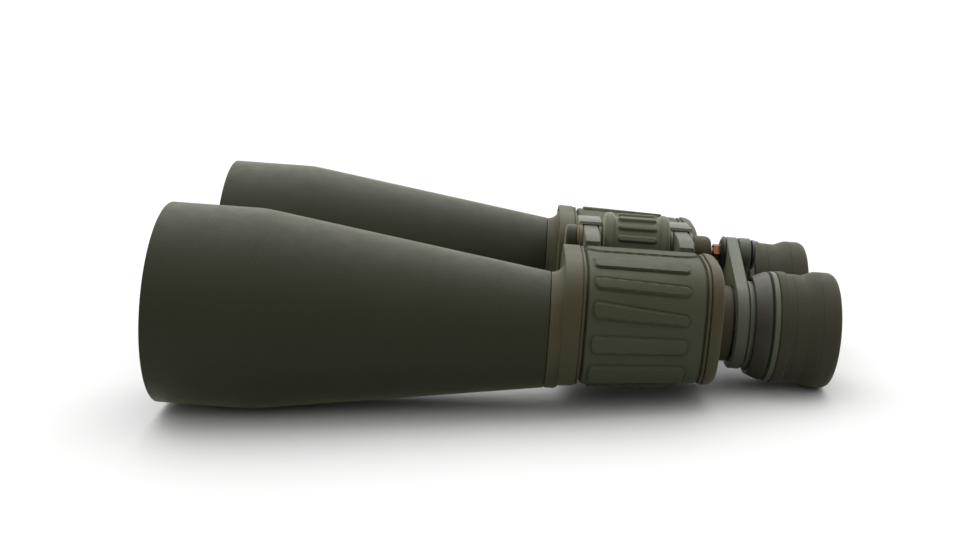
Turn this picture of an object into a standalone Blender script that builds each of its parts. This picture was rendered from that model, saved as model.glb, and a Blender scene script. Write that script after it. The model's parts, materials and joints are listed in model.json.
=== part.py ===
"""Centre-focus Porro binoculars with 70 mm objectives, modelled part by part.

All driving sizes are in millimetres. A "station" is a distance behind the front
rims of the objective tubes, measured along the optical axes. Across is positive
towards the user's right, and height is measured from the plane of the objective
axes. The whole instrument is tipped so that it lies on its own bells and eyecups.
"""
import math

import bmesh
import bpy
from mathutils import Matrix, Vector

MM = 0.001
NAME = "binoculars"

# Overall layout
OBJECTIVE_SPACING = 123.3
EYEPIECE_SPACING = 66.8
EYEPIECE_HEIGHT = 1.0
HINGE_HEIGHT = 25.0
FIT_GAP = 0.3

# Objective tubes
BELL_RADIUS = 41.0
BELL_LENGTH = 38.0
BELL_BLEND = 5.0
TUBE_LENGTH = 155.8
TUBE_REAR_RADIUS = 23.7
TUBE_WALL = 2.2
RIM_CHAMFER = 0.6
SPIGOT_LENGTH = 5.2
SPIGOT_WALL = 1.8
CELL_FRONT = 13.0
CELL_LENGTH = 21.2
CELL_WALL = 1.9

# Prism housings
NECK_LENGTH = 4.2
NECK_WALL = 3.6
HOUSING_LENGTH = 59.9
HOUSING_HALF_WIDTH = 36.3
HOUSING_HALF_HEIGHT = 26.6
HOUSING_INWARDS = 11.9
HOUSING_RISE = 4.3
HOUSING_TAPER = 6.6
HOUSING_SHIFT = 6.6
HOUSING_LIFT = 0.9
HOUSING_THINNING = 1.3
HOUSING_BAND_STEPS = 4
FRONT_ROUNDING = 2.4
CAVITY_SETBACK = 4.5
BORE_SETBACK = 3.2
CORNER_POWER = 3.2
HOUSING_WALL = 1.8
FRONT_BAND = 8.0
ARMOUR_THICKNESS = 2.5
ARMOUR_FRONT_MARGIN = 10.2
ARMOUR_REAR_MARGIN = 1.7
RIB_HEIGHT = 0.9
RIB_SUNK = 1.2
RIB_EDGE_DEGREES = 0.9
RIB_FRONT_MARGIN = 3.0
RIB_REAR_MARGIN = 7.0
REAR_PLATE_THICKNESS = 5.2
PRISM_WIDTH = 19.5
PRISM_TRIM = 3.6
SHELF_SETBACK = 32.2
SHELF_THICKNESS = 2.0
LIGHT_HOLE_RADIUS = 9.5

# Centre hinge and focus wheel
KNUCKLE_RADIUS = 8.0
HOOD_RADIUS = 9.6
ARM_REACH = 25.0
FORK_SETBACK = 8.6
FRONT_KNUCKLE_LENGTH = 6.8
REAR_KNUCKLE_LENGTH = 7.0
PRONG_THICKNESS = 1.6
AXLE_RADIUS = 3.2
AXLE_WALL = 0.8
SOCKET_RADIUS = 4.6
SOCKET_WALL = 1.2
CAP_RADIUS = 7.8
CAP_LENGTH = 4.9
WASHER_THICKNESS = 0.5
WHEEL_LENGTH = 28.8
WHEEL_DRUM_RADIUS = 13.0
WHEEL_RIM_RADIUS = 14.5
WHEEL_RIBS = 15
SPINDLE_RADIUS = 2.0
REAR_CAP_RADIUS = 6.8
REAR_CAP_LENGTH = 8.0

# Eyepieces and bridge
BRIDGE_THICKNESS = 5.3
BRIDGE_RING_RADIUS = 19.0
HUB_RADIUS = 7.4
HUB_BOSS_RADIUS = 4.5
HUB_NOSE_LENGTH = 1.7
GUIDE_WALL = 1.9
BARREL_RADIUS = 15.5
BARREL_STEP = 1.6
BARREL_WALL = 1.5
CELL_STEP_WALL = 1.4
SKIRT_WALL = 1.4
CONE_RADIUS = 23.1
CONE_LENGTH = 6.6
OCULAR_GAP = 1.1
OCULAR_RING_RADIUS = 23.4
OCULAR_RING_LENGTH = 2.1
CUP_RADIUS = 23.7
CUP_WAIST_RADIUS = 22.8
CUP_RIM_RADIUS = 24.6
CUP_LENGTH = 25.0
CUP_MOUTH_RADIUS = 21.4
CUP_FLOOR = 11.5

# Sizes and stations that follow from the ones above
BELL_BORE = BELL_RADIUS - TUBE_WALL
CELL_RADIUS = BELL_BORE - FIT_GAP
LENS_RADIUS = CELL_RADIUS - CELL_WALL - FIT_GAP
CELL_REAR = CELL_FRONT + CELL_LENGTH
TUBE_SLOPE = (BELL_RADIUS - TUBE_REAR_RADIUS) / (TUBE_LENGTH - BELL_LENGTH)
NECK_FRONT = TUBE_LENGTH + FIT_GAP
NECK_RADIUS = TUBE_REAR_RADIUS - 0.1
NECK_BORE = NECK_RADIUS - NECK_WALL
HOUSING_FRONT = TUBE_LENGTH + NECK_LENGTH
HOUSING_REAR = HOUSING_FRONT + HOUSING_LENGTH
ARMOUR_FRONT = HOUSING_FRONT + ARMOUR_FRONT_MARGIN
ARMOUR_REAR = HOUSING_REAR - ARMOUR_REAR_MARGIN
CASTING_INSET = ARMOUR_THICKNESS + FIT_GAP
CAVITY_INSET = CASTING_INSET + HOUSING_WALL
PLATE_FRONT = HOUSING_REAR + 0.5
PLATE_REAR = PLATE_FRONT + REAR_PLATE_THICKNESS
SHELF_FRONT = HOUSING_FRONT + SHELF_SETBACK
SHELF_REAR = SHELF_FRONT + SHELF_THICKNESS
FORK_FRONT = HOUSING_FRONT + FORK_SETBACK
FRONT_FORK_REAR = FORK_FRONT + FRONT_KNUCKLE_LENGTH + 2 * (PRONG_THICKNESS + FIT_GAP)
WHEEL_FRONT = FRONT_FORK_REAR + 0.4
WHEEL_REAR = WHEEL_FRONT + WHEEL_LENGTH
REAR_FORK_FRONT = WHEEL_REAR + 0.4
REAR_FORK_REAR = REAR_FORK_FRONT + REAR_KNUCKLE_LENGTH + 2 * (PRONG_THICKNESS + FIT_GAP)
REAR_CAP_FRONT = REAR_FORK_REAR + FIT_GAP
REAR_CAP_REAR = REAR_CAP_FRONT + REAR_CAP_LENGTH
NUT_FRONT = max(REAR_CAP_REAR, PLATE_REAR) + 1.1
HUB_FRONT = NUT_FRONT + 3.0 + FIT_GAP
ARM_FRONT = HUB_FRONT + HUB_NOSE_LENGTH + FIT_GAP
SECOND_ARM_FRONT = ARM_FRONT + BRIDGE_THICKNESS + 0.4
HUB_REAR = SECOND_ARM_FRONT + BRIDGE_THICKNESS + FIT_GAP
BARREL_STEP_RADIUS = BARREL_RADIUS - BARREL_STEP
BARREL_BORE = BARREL_STEP_RADIUS - BARREL_WALL
GUIDE_BORE = BARREL_STEP_RADIUS + FIT_GAP
GUIDE_RADIUS = GUIDE_BORE + GUIDE_WALL
GUIDE_REAR = ARM_FRONT - 0.7
FLANGE_REAR = SECOND_ARM_FRONT + 3.5
CONE_FRONT = SECOND_ARM_FRONT + 1.8
CONE_REAR = CONE_FRONT + CONE_LENGTH
SKIRT_BORE = BRIDGE_RING_RADIUS + FIT_GAP + 0.1
SKIRT_RADIUS = SKIRT_BORE + SKIRT_WALL
OCULAR_FRONT = CONE_REAR + OCULAR_GAP
CUP_FRONT = OCULAR_FRONT + OCULAR_RING_LENGTH + FIT_GAP
CUP_REAR = CUP_FRONT + CUP_LENGTH
CUP_FLOOR_STATION = CUP_FRONT + CUP_FLOOR
EYE_CELL_REAR = CUP_FLOOR_STATION - 0.5
EYE_CELL_STEP_RADIUS = BARREL_RADIUS - BARREL_STEP - 1.0
EYE_LENS_RADIUS = BARREL_RADIUS - 2.5

TURN_SEGMENTS = 28
SMALL_SEGMENTS = 20
SECTION_POINTS = 32
WHEEL_POINTS_PER_RIB = 4

# Each rib: lower and upper edge angle at its front end, then at its rear end,
# in degrees around the housing from its outer side towards its top
RIB_ANGLES = (
    (88.0, 103.0, 91.0, 103.0),
    (50.8, 70.0, 49.0, 66.0),
    (31.0, 39.3, 28.4, 35.4),
    (11.9, 22.0, 7.4, 14.3),
    (-11.7, -0.8, -13.8, -3.8),
    (-35.6, -21.4, -41.0, -24.7),
)

# Colour, roughness and metallic value of each material
MATERIALS = {
    "green_paint": ((0.060, 0.064, 0.036), 0.55, 0.0),
    "tan_paint": ((0.085, 0.070, 0.038), 0.6, 0.0),
    "green_rubber": ((0.070, 0.072, 0.042), 0.7, 0.0),
    "pale_green_paint": ((0.140, 0.150, 0.105), 0.5, 0.0),
    "wheel_rubber": ((0.090, 0.095, 0.060), 0.65, 0.0),
    "eyecup_rubber": ((0.050, 0.046, 0.030), 0.75, 0.0),
    "dark_brown_paint": ((0.022, 0.018, 0.011), 0.5, 0.0),
    "black_anodised": ((0.010, 0.010, 0.010), 0.4, 0.3),
    "steel": ((0.50, 0.46, 0.42), 0.3, 1.0),
    "copper": ((0.60, 0.30, 0.14), 0.35, 1.0),
    "coated_glass": ((0.30, 0.34, 0.42), 0.05, 0.0),
}


def clear_scene():
    for item in list(bpy.data.objects):
        bpy.data.objects.remove(item, do_unlink=True)


def new_collection(name):
    collection = bpy.data.collections.new(name)
    bpy.context.scene.collection.children.link(collection)
    return collection


def make_material(name):
    colour, roughness, metallic = MATERIALS[name]
    material = bpy.data.materials.new(name)
    material.use_nodes = True
    shader = material.node_tree.nodes["Principled BSDF"]
    shader.inputs["Base Color"].default_value = (*colour, 1.0)
    shader.inputs["Roughness"].default_value = roughness
    shader.inputs["Metallic"].default_value = metallic
    return material


def make_axis(name, across, station, height, parent=None):
    """An empty on a joint's axis, lined up with the optical axes."""
    axis = bpy.data.objects.new(name, None)
    parts.objects.link(axis)
    axis.empty_display_size = 10 * MM
    axis["across"] = across
    axis["station"] = station
    axis["height"] = height
    if parent is None:
        return axis
    axis.parent = parent
    axis.location = offset_from(parent, across, station, height)
    return axis


def offset_from(parent, across, station, height):
    """Where a point lies as seen from a parent empty, in metres."""
    return Vector((
        (across - parent["across"]) * MM,
        (parent["station"] - station) * MM,
        (height - parent["height"]) * MM,
    ))


def add_object(name, data, body, material, place=(0.0, 0.0, 0.0), turn=(0.0, 0.0, 0.0)):
    """Put one sub-part on a body. The place is (across, station, height)."""
    item = bpy.data.objects.new(name, data)
    parts.objects.link(item)
    item.parent = body
    item.location = offset_from(body, *place)
    item.rotation_euler = turn
    data.materials.append(make_material(material))
    return item


def add_cutter(name, data, body, place=(0.0, 0.0, 0.0), turn=(0.0, 0.0, 0.0)):
    cutter = bpy.data.objects.new(name, data)
    cutters.objects.link(cutter)
    cutter.parent = body
    cutter.location = offset_from(body, *place)
    cutter.rotation_euler = turn
    cutter.hide_render = True
    cutter.display_type = "WIRE"
    return cutter


def combine(item, other, operation):
    modifier = item.modifiers.new(operation.lower(), "BOOLEAN")
    modifier.operation = operation
    modifier.solver = "EXACT"
    modifier.object = other
    return modifier


# A turned piece is drawn in its own XZ plane with Z forwards
AXIS_FORWARD = (-math.pi / 2, 0.0, 0.0)
# A flat outline is drawn as seen from the front, with its thickness rearwards
PLANE_ACROSS = (math.pi / 2, 0.0, 0.0)


def profile_mesh(name, profile, closed):
    """A line of (station, radius) points, run down the outer side first."""
    mesh = bpy.data.meshes.new(name)
    points = [(radius * MM, 0.0, -station * MM) for station, radius in profile]
    edges = [(i, i + 1) for i in range(len(points) - 1)]
    if closed:
        edges.append((len(points) - 1, 0))
    mesh.from_pydata(points, edges, [])
    return mesh


def turned(name, profile, body, material, centre, segments=TURN_SEGMENTS, cutter=False):
    """A turned piece. A profile that starts and ends on the axis is solid."""
    closed = profile[0][1] > 0.0 or profile[-1][1] > 0.0
    mesh = profile_mesh(name, profile, closed)
    place = (centre[0], 0.0, centre[1])
    if cutter:
        item = add_cutter(name, mesh, body, place, AXIS_FORWARD)
    else:
        item = add_object(name, mesh, body, material, place, AXIS_FORWARD)
    screw = item.modifiers.new("turn", "SCREW")
    screw.axis = "Z"
    screw.angle = 2 * math.pi
    screw.steps = segments
    screw.render_steps = segments
    screw.use_merge_vertices = True
    screw.merge_threshold = 0.00001
    screw.use_smooth_shade = True
    return item


def ring(name, front, rear, outer, inner, body, material, centre, segments=SMALL_SEGMENTS):
    profile = [(front, outer), (rear, outer), (rear, inner), (front, inner)]
    return turned(name, profile, body, material, centre, segments)


def cylinder_cutter(name, front, rear, radius, body, centre, segments=SMALL_SEGMENTS):
    profile = [(front, 0.0), (front, radius), (rear, radius), (rear, 0.0)]
    return turned(name, profile, body, None, centre, segments, cutter=True)


def lens(name, front_edge, rear_edge, front_bulge, rear_bulge, radius, body, centre):
    """A round lens whose faces are parabolas, bulging outwards where positive."""
    steps = 2
    profile = []
    for i in range(steps + 1):
        reach = i / steps
        profile.append((front_edge - front_bulge * (1 - reach ** 2), radius * reach))
    for i in range(steps, -1, -1):
        reach = i / steps
        profile.append((rear_edge + rear_bulge * (1 - reach ** 2), radius * reach))
    return turned(name, profile, body, "coated_glass", centre, SMALL_SEGMENTS)


def circle_points(across, height, radius, count, start=0.0, sweep=2 * math.pi):
    """Points round an arc, counter-clockwise, without its end point."""
    points = []
    for i in range(count):
        angle = start + sweep * i / count
        points.append((across + radius * math.cos(angle), height + radius * math.sin(angle)))
    return points


def flat_piece(name, outlines, front, rear):
    """A closed mesh made from flat outlines, the later ones being its holes."""
    curve = bpy.data.curves.new(name + "_outline", "CURVE")
    curve.dimensions = "2D"
    curve.fill_mode = "BOTH"
    curve.extrude = (rear - front) / 2 * MM
    for outline in outlines:
        spline = curve.splines.new("POLY")
        spline.points.add(len(outline) - 1)
        for point, (across, height) in zip(spline.points, outline):
            point.co = (across * MM, height * MM, 0.0, 1.0)
        spline.use_cyclic_u = True
    drawing = bpy.data.objects.new(name + "_drawing", curve)
    cutters.objects.link(drawing)
    graph = bpy.context.evaluated_depsgraph_get()
    mesh = bpy.data.meshes.new_from_object(drawing.evaluated_get(graph))
    bpy.data.objects.remove(drawing, do_unlink=True)
    bpy.data.curves.remove(curve)
    work = bmesh.new()
    work.from_mesh(mesh)
    bmesh.ops.remove_doubles(work, verts=work.verts, dist=0.00001)
    bmesh.ops.recalc_face_normals(work, faces=work.faces)
    work.to_mesh(mesh)
    work.free()
    return mesh


def plate(name, outlines, front, rear, body, material, centre=(0.0, 0.0)):
    mesh = flat_piece(name, outlines, front, rear)
    place = (centre[0], (front + rear) / 2, centre[1])
    return add_object(name, mesh, body, material, place, PLANE_ACROSS)


def plate_cutter(name, outlines, front, rear, body, centre=(0.0, 0.0)):
    mesh = flat_piece(name, outlines, front, rear)
    place = (centre[0], (front + rear) / 2, centre[1])
    return add_cutter(name, mesh, body, place, PLANE_ACROSS)


def loft_mesh(name, rings, body, looped):
    """A skin over rings of (across, station, height) points, capped unless looped."""
    work = bmesh.new()
    rows = []
    for points in rings:
        rows.append([work.verts.new(offset_from(body, *point)) for point in points])
    count = len(rows[0])
    pairs = list(zip(rows, rows[1:]))
    if looped:
        pairs.append((rows[-1], rows[0]))
    for row, following in pairs:
        for i in range(count):
            j = (i + 1) % count
            work.faces.new((row[i], row[j], following[j], following[i]))
    if not looped:
        work.faces.new(rows[0])
        work.faces.new(rows[-1])
    bmesh.ops.recalc_face_normals(work, faces=work.faces)
    mesh = bpy.data.meshes.new(name)
    work.to_mesh(mesh)
    work.free()
    return mesh


def housing_section(station):
    """Centre, height and half sizes of the housing's outside at a station."""
    share = (station - HOUSING_FRONT) / (PLATE_REAR - HOUSING_FRONT)
    centre = OBJECTIVE_SPACING / 2 - HOUSING_INWARDS - HOUSING_SHIFT * share
    height = HOUSING_RISE + HOUSING_LIFT * share
    half_width = HOUSING_HALF_WIDTH - HOUSING_TAPER * share
    half_height = HOUSING_HALF_HEIGHT - HOUSING_THINNING * share
    return centre, height, half_width, half_height


def housing_point(side, station, inset, angle):
    """A point on the housing's outside, moved inwards by the inset."""
    centre, height, half_width, half_height = housing_section(station)
    a = half_width - inset
    b = half_height - inset
    across = abs(math.cos(angle)) / a
    up = abs(math.sin(angle)) / b
    reach = (across ** CORNER_POWER + up ** CORNER_POWER) ** (-1 / CORNER_POWER)
    outwards = centre + reach * math.cos(angle)
    return side * outwards, station, height + reach * math.sin(angle)


def section_angles():
    """Angles round a section, closer together at its corners."""
    angles = []
    for i in range(SECTION_POINTS):
        angle = 2 * math.pi * i / SECTION_POINTS
        angles.append(angle + 0.12 * math.sin(4 * angle + math.pi))
    return angles


def housing_ring(side, station, inset):
    return [housing_point(side, station, inset, angle) for angle in section_angles()]


def housing_band(side, front, rear, inset):
    """Rings at one inset from the front station to the rear one, evenly spaced."""
    steps = HOUSING_BAND_STEPS
    return [
        housing_ring(side, front + (rear - front) * i / steps, inset) for i in range(steps + 1)
    ]


def round_ring(side, station, radius, spacing, height):
    across = side * spacing / 2
    return [
        (across + side * radius * math.cos(angle), station, height + radius * math.sin(angle))
        for angle in section_angles()
    ]


def casting_cutter(name, side, body):
    """The housing's outside with a small clearance, as the hinge arms meet it."""
    under = CASTING_INSET - FIT_GAP
    clear = -FIT_GAP
    rings = [
        housing_ring(side, HOUSING_FRONT + 1.0, clear),
        housing_ring(side, ARMOUR_FRONT - 0.3, clear),
        *housing_band(side, ARMOUR_FRONT - 0.3, ARMOUR_REAR + 0.2, under),
        housing_ring(side, ARMOUR_REAR + 0.2, clear),
        housing_ring(side, PLATE_REAR, clear),
    ]
    return add_cutter(name, loft_mesh(name, rings, body, False), body, body_place(body))


def body_place(body):
    return body["across"], body["station"], body["height"]


def smooth(item, degrees=35.0):
    mesh = item.data
    for face in mesh.polygons:
        face.use_smooth = True
    mesh.set_sharp_from_angle(angle=math.radians(degrees))


def objective_axis(side):
    return side * OBJECTIVE_SPACING / 2, 0.0


def eyepiece_axis(side):
    return side * EYEPIECE_SPACING / 2, EYEPIECE_HEIGHT


HINGE_AXIS = (0.0, HINGE_HEIGHT)


def objective_tube(side, label, body):
    """The bell, its long cone and the spigot that fits in the housing's neck."""
    blend_rise = TUBE_SLOPE * BELL_BLEND
    seat = CELL_REAR + FIT_GAP
    spigot = NECK_BORE - FIT_GAP
    profile = [
        (0.0, BELL_RADIUS - RIM_CHAMFER),
        (RIM_CHAMFER, BELL_RADIUS),
        (BELL_LENGTH - BELL_BLEND, BELL_RADIUS),
        (BELL_LENGTH, BELL_RADIUS - blend_rise / 4),
        (BELL_LENGTH + BELL_BLEND, BELL_RADIUS - blend_rise),
        (TUBE_LENGTH, TUBE_REAR_RADIUS),
        (TUBE_LENGTH, spigot),
        (TUBE_LENGTH + SPIGOT_LENGTH, spigot),
        (TUBE_LENGTH + SPIGOT_LENGTH, spigot - SPIGOT_WALL),
        (TUBE_LENGTH - 3.0, spigot - SPIGOT_WALL),
        (TUBE_LENGTH - 6.0, TUBE_REAR_RADIUS + 6.0 * TUBE_SLOPE - TUBE_WALL),
        (BELL_LENGTH + BELL_BLEND, BELL_BORE - blend_rise),
        (seat + 3.0, BELL_BORE - TUBE_WALL),
        (seat, BELL_BORE - TUBE_WALL),
        (seat, BELL_BORE),
        (0.0, BELL_BORE),
    ]
    turned("objective_tube_" + label, profile, body, "green_paint", objective_axis(side))


def objective_lens(side, label, body):
    """The lens cell, the cemented pair's two glasses and their threaded ring."""
    centre = objective_axis(side)
    lip = CELL_REAR - 2.7
    profile = [
        (CELL_FRONT, CELL_RADIUS),
        (CELL_REAR, CELL_RADIUS),
        (CELL_REAR, LENS_RADIUS - 2.0),
        (lip, LENS_RADIUS - 2.0),
        (lip, LENS_RADIUS + FIT_GAP),
        (CELL_FRONT, LENS_RADIUS + FIT_GAP),
    ]
    turned("objective_cell_" + label, profile, body, "black_anodised", centre)
    flint_rear = lip - 0.5
    flint_front = flint_rear - 6.2
    crown_rear = flint_front - 0.5
    crown_front = crown_rear - 2.5
    bulge = 2.6
    radius = LENS_RADIUS
    lens("objective_flint_" + label, flint_front, flint_rear, -bulge, -0.8, radius, body, centre)
    lens("objective_crown_" + label, crown_front, crown_rear, bulge, bulge, radius, body, centre)
    ring_rear = crown_front - 0.5
    ring(
        "objective_ring_" + label, ring_rear - 4.0, ring_rear, radius, radius - 1.9,
        body, "black_anodised", centre, TURN_SEGMENTS,
    )


def arm_outline(side, hood, grow):
    """A hinge arm seen from the front: its knuckle and the bar to its housing."""
    inner = circle_points(0.0, 0.0, KNUCKLE_RADIUS + grow, 12, math.radians(90), math.radians(220))
    outline = [
        (ARM_REACH, 5.8 + grow),
        (ARM_REACH - 3.5, KNUCKLE_RADIUS + grow + (0.6 if hood else 0.0)),
    ]
    if hood:
        outline.append((KNUCKLE_RADIUS, HOOD_RADIUS - 0.2 + grow))
        outline += circle_points(
            0.0, 0.0, HOOD_RADIUS + grow, 4, math.radians(66), math.radians(18)
        )
    outline += inner
    outline.append((KNUCKLE_RADIUS + 4.0, -7.0 - grow))
    outline.append((ARM_REACH, -7.0 - grow))
    return [(side * across, height) for across, height in outline]


def hinge_arm(name, side, body, casting, front, rear, axle_radius):
    """One arm of the centre hinge. The right one is a fork around the left one."""
    fork = side > 0
    outlines = [arm_outline(side, fork, 0.0)]
    outlines.append(circle_points(0.0, 0.0, axle_radius + FIT_GAP, SMALL_SEGMENTS))
    arm = plate(name, outlines, front, rear, body, "pale_green_paint", HINGE_AXIS)
    combine(arm, casting, "DIFFERENCE")
    if not fork:
        return
    slot_front = front + PRONG_THICKNESS
    slot_rear = rear - PRONG_THICKNESS
    radius = KNUCKLE_RADIUS + FIT_GAP + 0.1
    slot = cylinder_cutter(name + "_slot", slot_front, slot_rear, radius, body, HINGE_AXIS, TURN_SEGMENTS)
    combine(arm, slot, "DIFFERENCE")


def arm_stations(side):
    """Front and rear stations of the front arm and of the rear arm."""
    step = PRONG_THICKNESS + FIT_GAP
    inwards = 0.0 if side > 0 else step
    return (
        (FORK_FRONT + inwards, FRONT_FORK_REAR - inwards),
        (REAR_FORK_FRONT + inwards, REAR_FORK_REAR - inwards),
    )


def housing(side, label, body):
    """The cast prism housing, open at its rear, with the neck for the tube."""
    spacing = OBJECTIVE_SPACING
    band_rear = HOUSING_FRONT + FRONT_BAND
    rings = [
        round_ring(side, NECK_FRONT, NECK_RADIUS, spacing, 0.0),
        round_ring(side, HOUSING_FRONT - FRONT_ROUNDING, NECK_RADIUS - 0.7, spacing, 0.0),
        housing_ring(side, HOUSING_FRONT, 0.8),
        housing_ring(side, HOUSING_FRONT + FRONT_ROUNDING, 0.0),
        housing_ring(side, band_rear, 0.0),
        housing_ring(side, band_rear + 0.3, 0.5),
        housing_ring(side, ARMOUR_FRONT - 0.7, 0.5),
        *housing_band(side, ARMOUR_FRONT - 0.6, ARMOUR_REAR + 0.5, CASTING_INSET),
        housing_ring(side, ARMOUR_REAR + 0.6, 0.5),
        housing_ring(side, HOUSING_REAR, 0.5),
        *housing_band(side, HOUSING_REAR, HOUSING_FRONT + CAVITY_SETBACK, CAVITY_INSET),
        round_ring(side, HOUSING_FRONT + BORE_SETBACK, NECK_BORE, spacing, 0.0),
        round_ring(side, NECK_FRONT, NECK_BORE, spacing, 0.0),
    ]
    name = "prism_housing_" + label
    mesh = loft_mesh(name, rings, body, True)
    item = add_object(name, mesh, body, "tan_paint", body_place(body))
    smooth(item)
    return item


def rib_rings(side, angles):
    """Sections along one raised rib of the rubber armour, its ends sloped."""
    low_front, high_front, low_rear, high_rear = angles
    front = ARMOUR_FRONT + RIB_FRONT_MARGIN
    rear = ARMOUR_REAR - RIB_REAR_MARGIN
    sunk = RIB_SUNK
    edge = RIB_EDGE_DEGREES
    rings = []
    for share, end in ((0.0, True), (0.02, False), (0.98, False), (1.0, True)):
        station = front + (rear - front) * share
        low = low_front + (low_rear - low_front) * share
        high = high_front + (high_rear - high_front) * share
        middle = (low + high) / 2
        height = -0.2 if end else RIB_HEIGHT
        section = [
            (low, sunk), (middle, sunk), (high, sunk),
            (high - edge, -height), (middle, -height), (low + edge, -height),
        ]
        rings.append([
            housing_point(side, station, inset, math.radians(angle)) for angle, inset in section
        ])
    return rings


def joined_meshes(name, meshes):
    work = bmesh.new()
    for mesh in meshes:
        work.from_mesh(mesh)
        bpy.data.meshes.remove(mesh)
    joined = bpy.data.meshes.new(name)
    work.to_mesh(joined)
    work.free()
    return joined


def armour(side, label, body):
    """The rubber sleeve round the housing, its ribs and its notches for the arms."""
    rings = [
        housing_ring(side, ARMOUR_FRONT, 0.5),
        *housing_band(side, ARMOUR_FRONT + 0.6, ARMOUR_REAR - 0.6, 0.0),
        housing_ring(side, ARMOUR_REAR, 0.5),
        *housing_band(side, ARMOUR_REAR, ARMOUR_FRONT, ARMOUR_THICKNESS),
    ]
    name = "rubber_armour_" + label
    mesh = loft_mesh(name, rings, body, True)
    sleeve = add_object(name, mesh, body, "green_rubber", body_place(body))
    smooth(sleeve)
    ribs = [
        loft_mesh(name + "_rib", rib_rings(side, angles), body, False)
        for angles in RIB_ANGLES
    ]
    cutter = add_cutter(name + "_ribs", joined_meshes(name + "_ribs", ribs), body, body_place(body))
    combine(sleeve, cutter, "UNION")
    for i, (front, rear) in enumerate(arm_stations(side)):
        outline = arm_outline(side, side > 0, FIT_GAP)
        notch_name = f"{name}_notch_{i}"
        notch = plate_cutter(
            notch_name, [outline], front - FIT_GAP, rear + FIT_GAP, body, HINGE_AXIS
        )
        combine(sleeve, notch, "DIFFERENCE")


def rear_plate(side, label, body):
    """The cover behind the prisms, with the hole for the eyepiece guide."""
    hole = GUIDE_RADIUS - 0.5 + FIT_GAP
    rings = [
        housing_ring(side, PLATE_FRONT, 0.4),
        housing_ring(side, PLATE_FRONT + 0.5, 0.0),
        housing_ring(side, PLATE_REAR - 3.2, 0.0),
        housing_ring(side, PLATE_REAR - 1.2, 0.8),
        housing_ring(side, PLATE_REAR - 0.3, 1.9),
        housing_ring(side, PLATE_REAR, 2.9),
        round_ring(side, PLATE_REAR, hole, EYEPIECE_SPACING, EYEPIECE_HEIGHT),
        round_ring(side, PLATE_FRONT, hole, EYEPIECE_SPACING, EYEPIECE_HEIGHT),
    ]
    name = "rear_plate_" + label
    mesh = loft_mesh(name, rings, body, True)
    smooth(add_object(name, mesh, body, "tan_paint", body_place(body)))


def prism_steps():
    """The two sideways steps of the light, from the objective to the eyepiece."""
    outwards = (EYEPIECE_SPACING - OBJECTIVE_SPACING) / 2
    path = Vector((outwards, EYEPIECE_HEIGHT))
    rising = Matrix.Rotation(-math.pi / 4, 2) @ path / math.sqrt(2)
    falling = Matrix.Rotation(math.pi / 4, 2) @ path / math.sqrt(2)
    return rising, falling


def prism(name, side, body, centre, along, face_station, apex_rearwards):
    """A right-angle prism whose long face looks along the optical axis."""
    half = along.length
    trim = PRISM_TRIM
    outline = [
        (-(half - trim), 0.0), (half - trim, 0.0), (half - trim, trim),
        (1.0, half - 1.0), (-1.0, half - 1.0), (-(half - trim), trim),
    ]
    mesh = flat_piece(name, [outline], -PRISM_WIDTH / 2, PRISM_WIDTH / 2)
    place = (side * centre.x, face_station, centre.y)
    item = add_object(name, mesh, body, "coated_glass", place)
    length = Vector((side * along.x, 0.0, along.y)).normalized()
    height = Vector((0.0, -1.0 if apex_rearwards else 1.0, 0.0))
    width = length.cross(height)
    item.rotation_euler = Matrix((length, height, width)).transposed().to_euler()


def prisms(side, label, body):
    """Both prisms and the shelf between them."""
    rising, falling = prism_steps()
    entry = Vector((OBJECTIVE_SPACING / 2, 0.0))
    leaving = Vector((EYEPIECE_SPACING / 2, EYEPIECE_HEIGHT))
    prism(
        "rear_prism_" + label, side, body, entry + rising / 2, rising,
        SHELF_REAR + FIT_GAP, True,
    )
    prism(
        "front_prism_" + label, side, body, leaving - falling / 2, falling,
        SHELF_FRONT - FIT_GAP, False,
    )
    edge = housing_ring(side, SHELF_REAR, CAVITY_INSET + FIT_GAP)
    outlines = [[(across, height) for across, _, height in edge]]
    for across, height in (objective_axis(side), eyepiece_axis(side)):
        outlines.append(circle_points(across, height, LIGHT_HOLE_RADIUS, 24))
    plate("prism_shelf_" + label, outlines, SHELF_FRONT, SHELF_REAR, body, "black_anodised")


def guide_tube(side, label, body):
    """The fixed tube that the eyepiece slides in, let into the rear plate."""
    root = GUIDE_RADIUS - 0.5
    profile = [
        (PLATE_FRONT + 4.0, root),
        (PLATE_REAR + FIT_GAP, root),
        (PLATE_REAR + FIT_GAP, GUIDE_RADIUS),
        (GUIDE_REAR, GUIDE_RADIUS),
        (GUIDE_REAR, GUIDE_BORE),
        (PLATE_FRONT + 4.0, GUIDE_BORE),
    ]
    centre = eyepiece_axis(side)
    turned("guide_tube_" + label, profile, body, "tan_paint", centre, SMALL_SEGMENTS)


def half(side, label, body):
    """Everything fixed to one prism housing."""
    objective_tube(side, label, body)
    objective_lens(side, label, body)
    housing(side, label, body)
    armour(side, label, body)
    rear_plate(side, label, body)
    prisms(side, label, body)
    guide_tube(side, label, body)
    casting = casting_cutter("casting_" + label, side, body)
    front_arm, rear_arm = arm_stations(side)
    hinge_arm("front_arm_" + label, side, body, casting, *front_arm, SOCKET_RADIUS)
    hinge_arm("rear_arm_" + label, side, body, casting, *rear_arm, AXLE_RADIUS)


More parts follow.
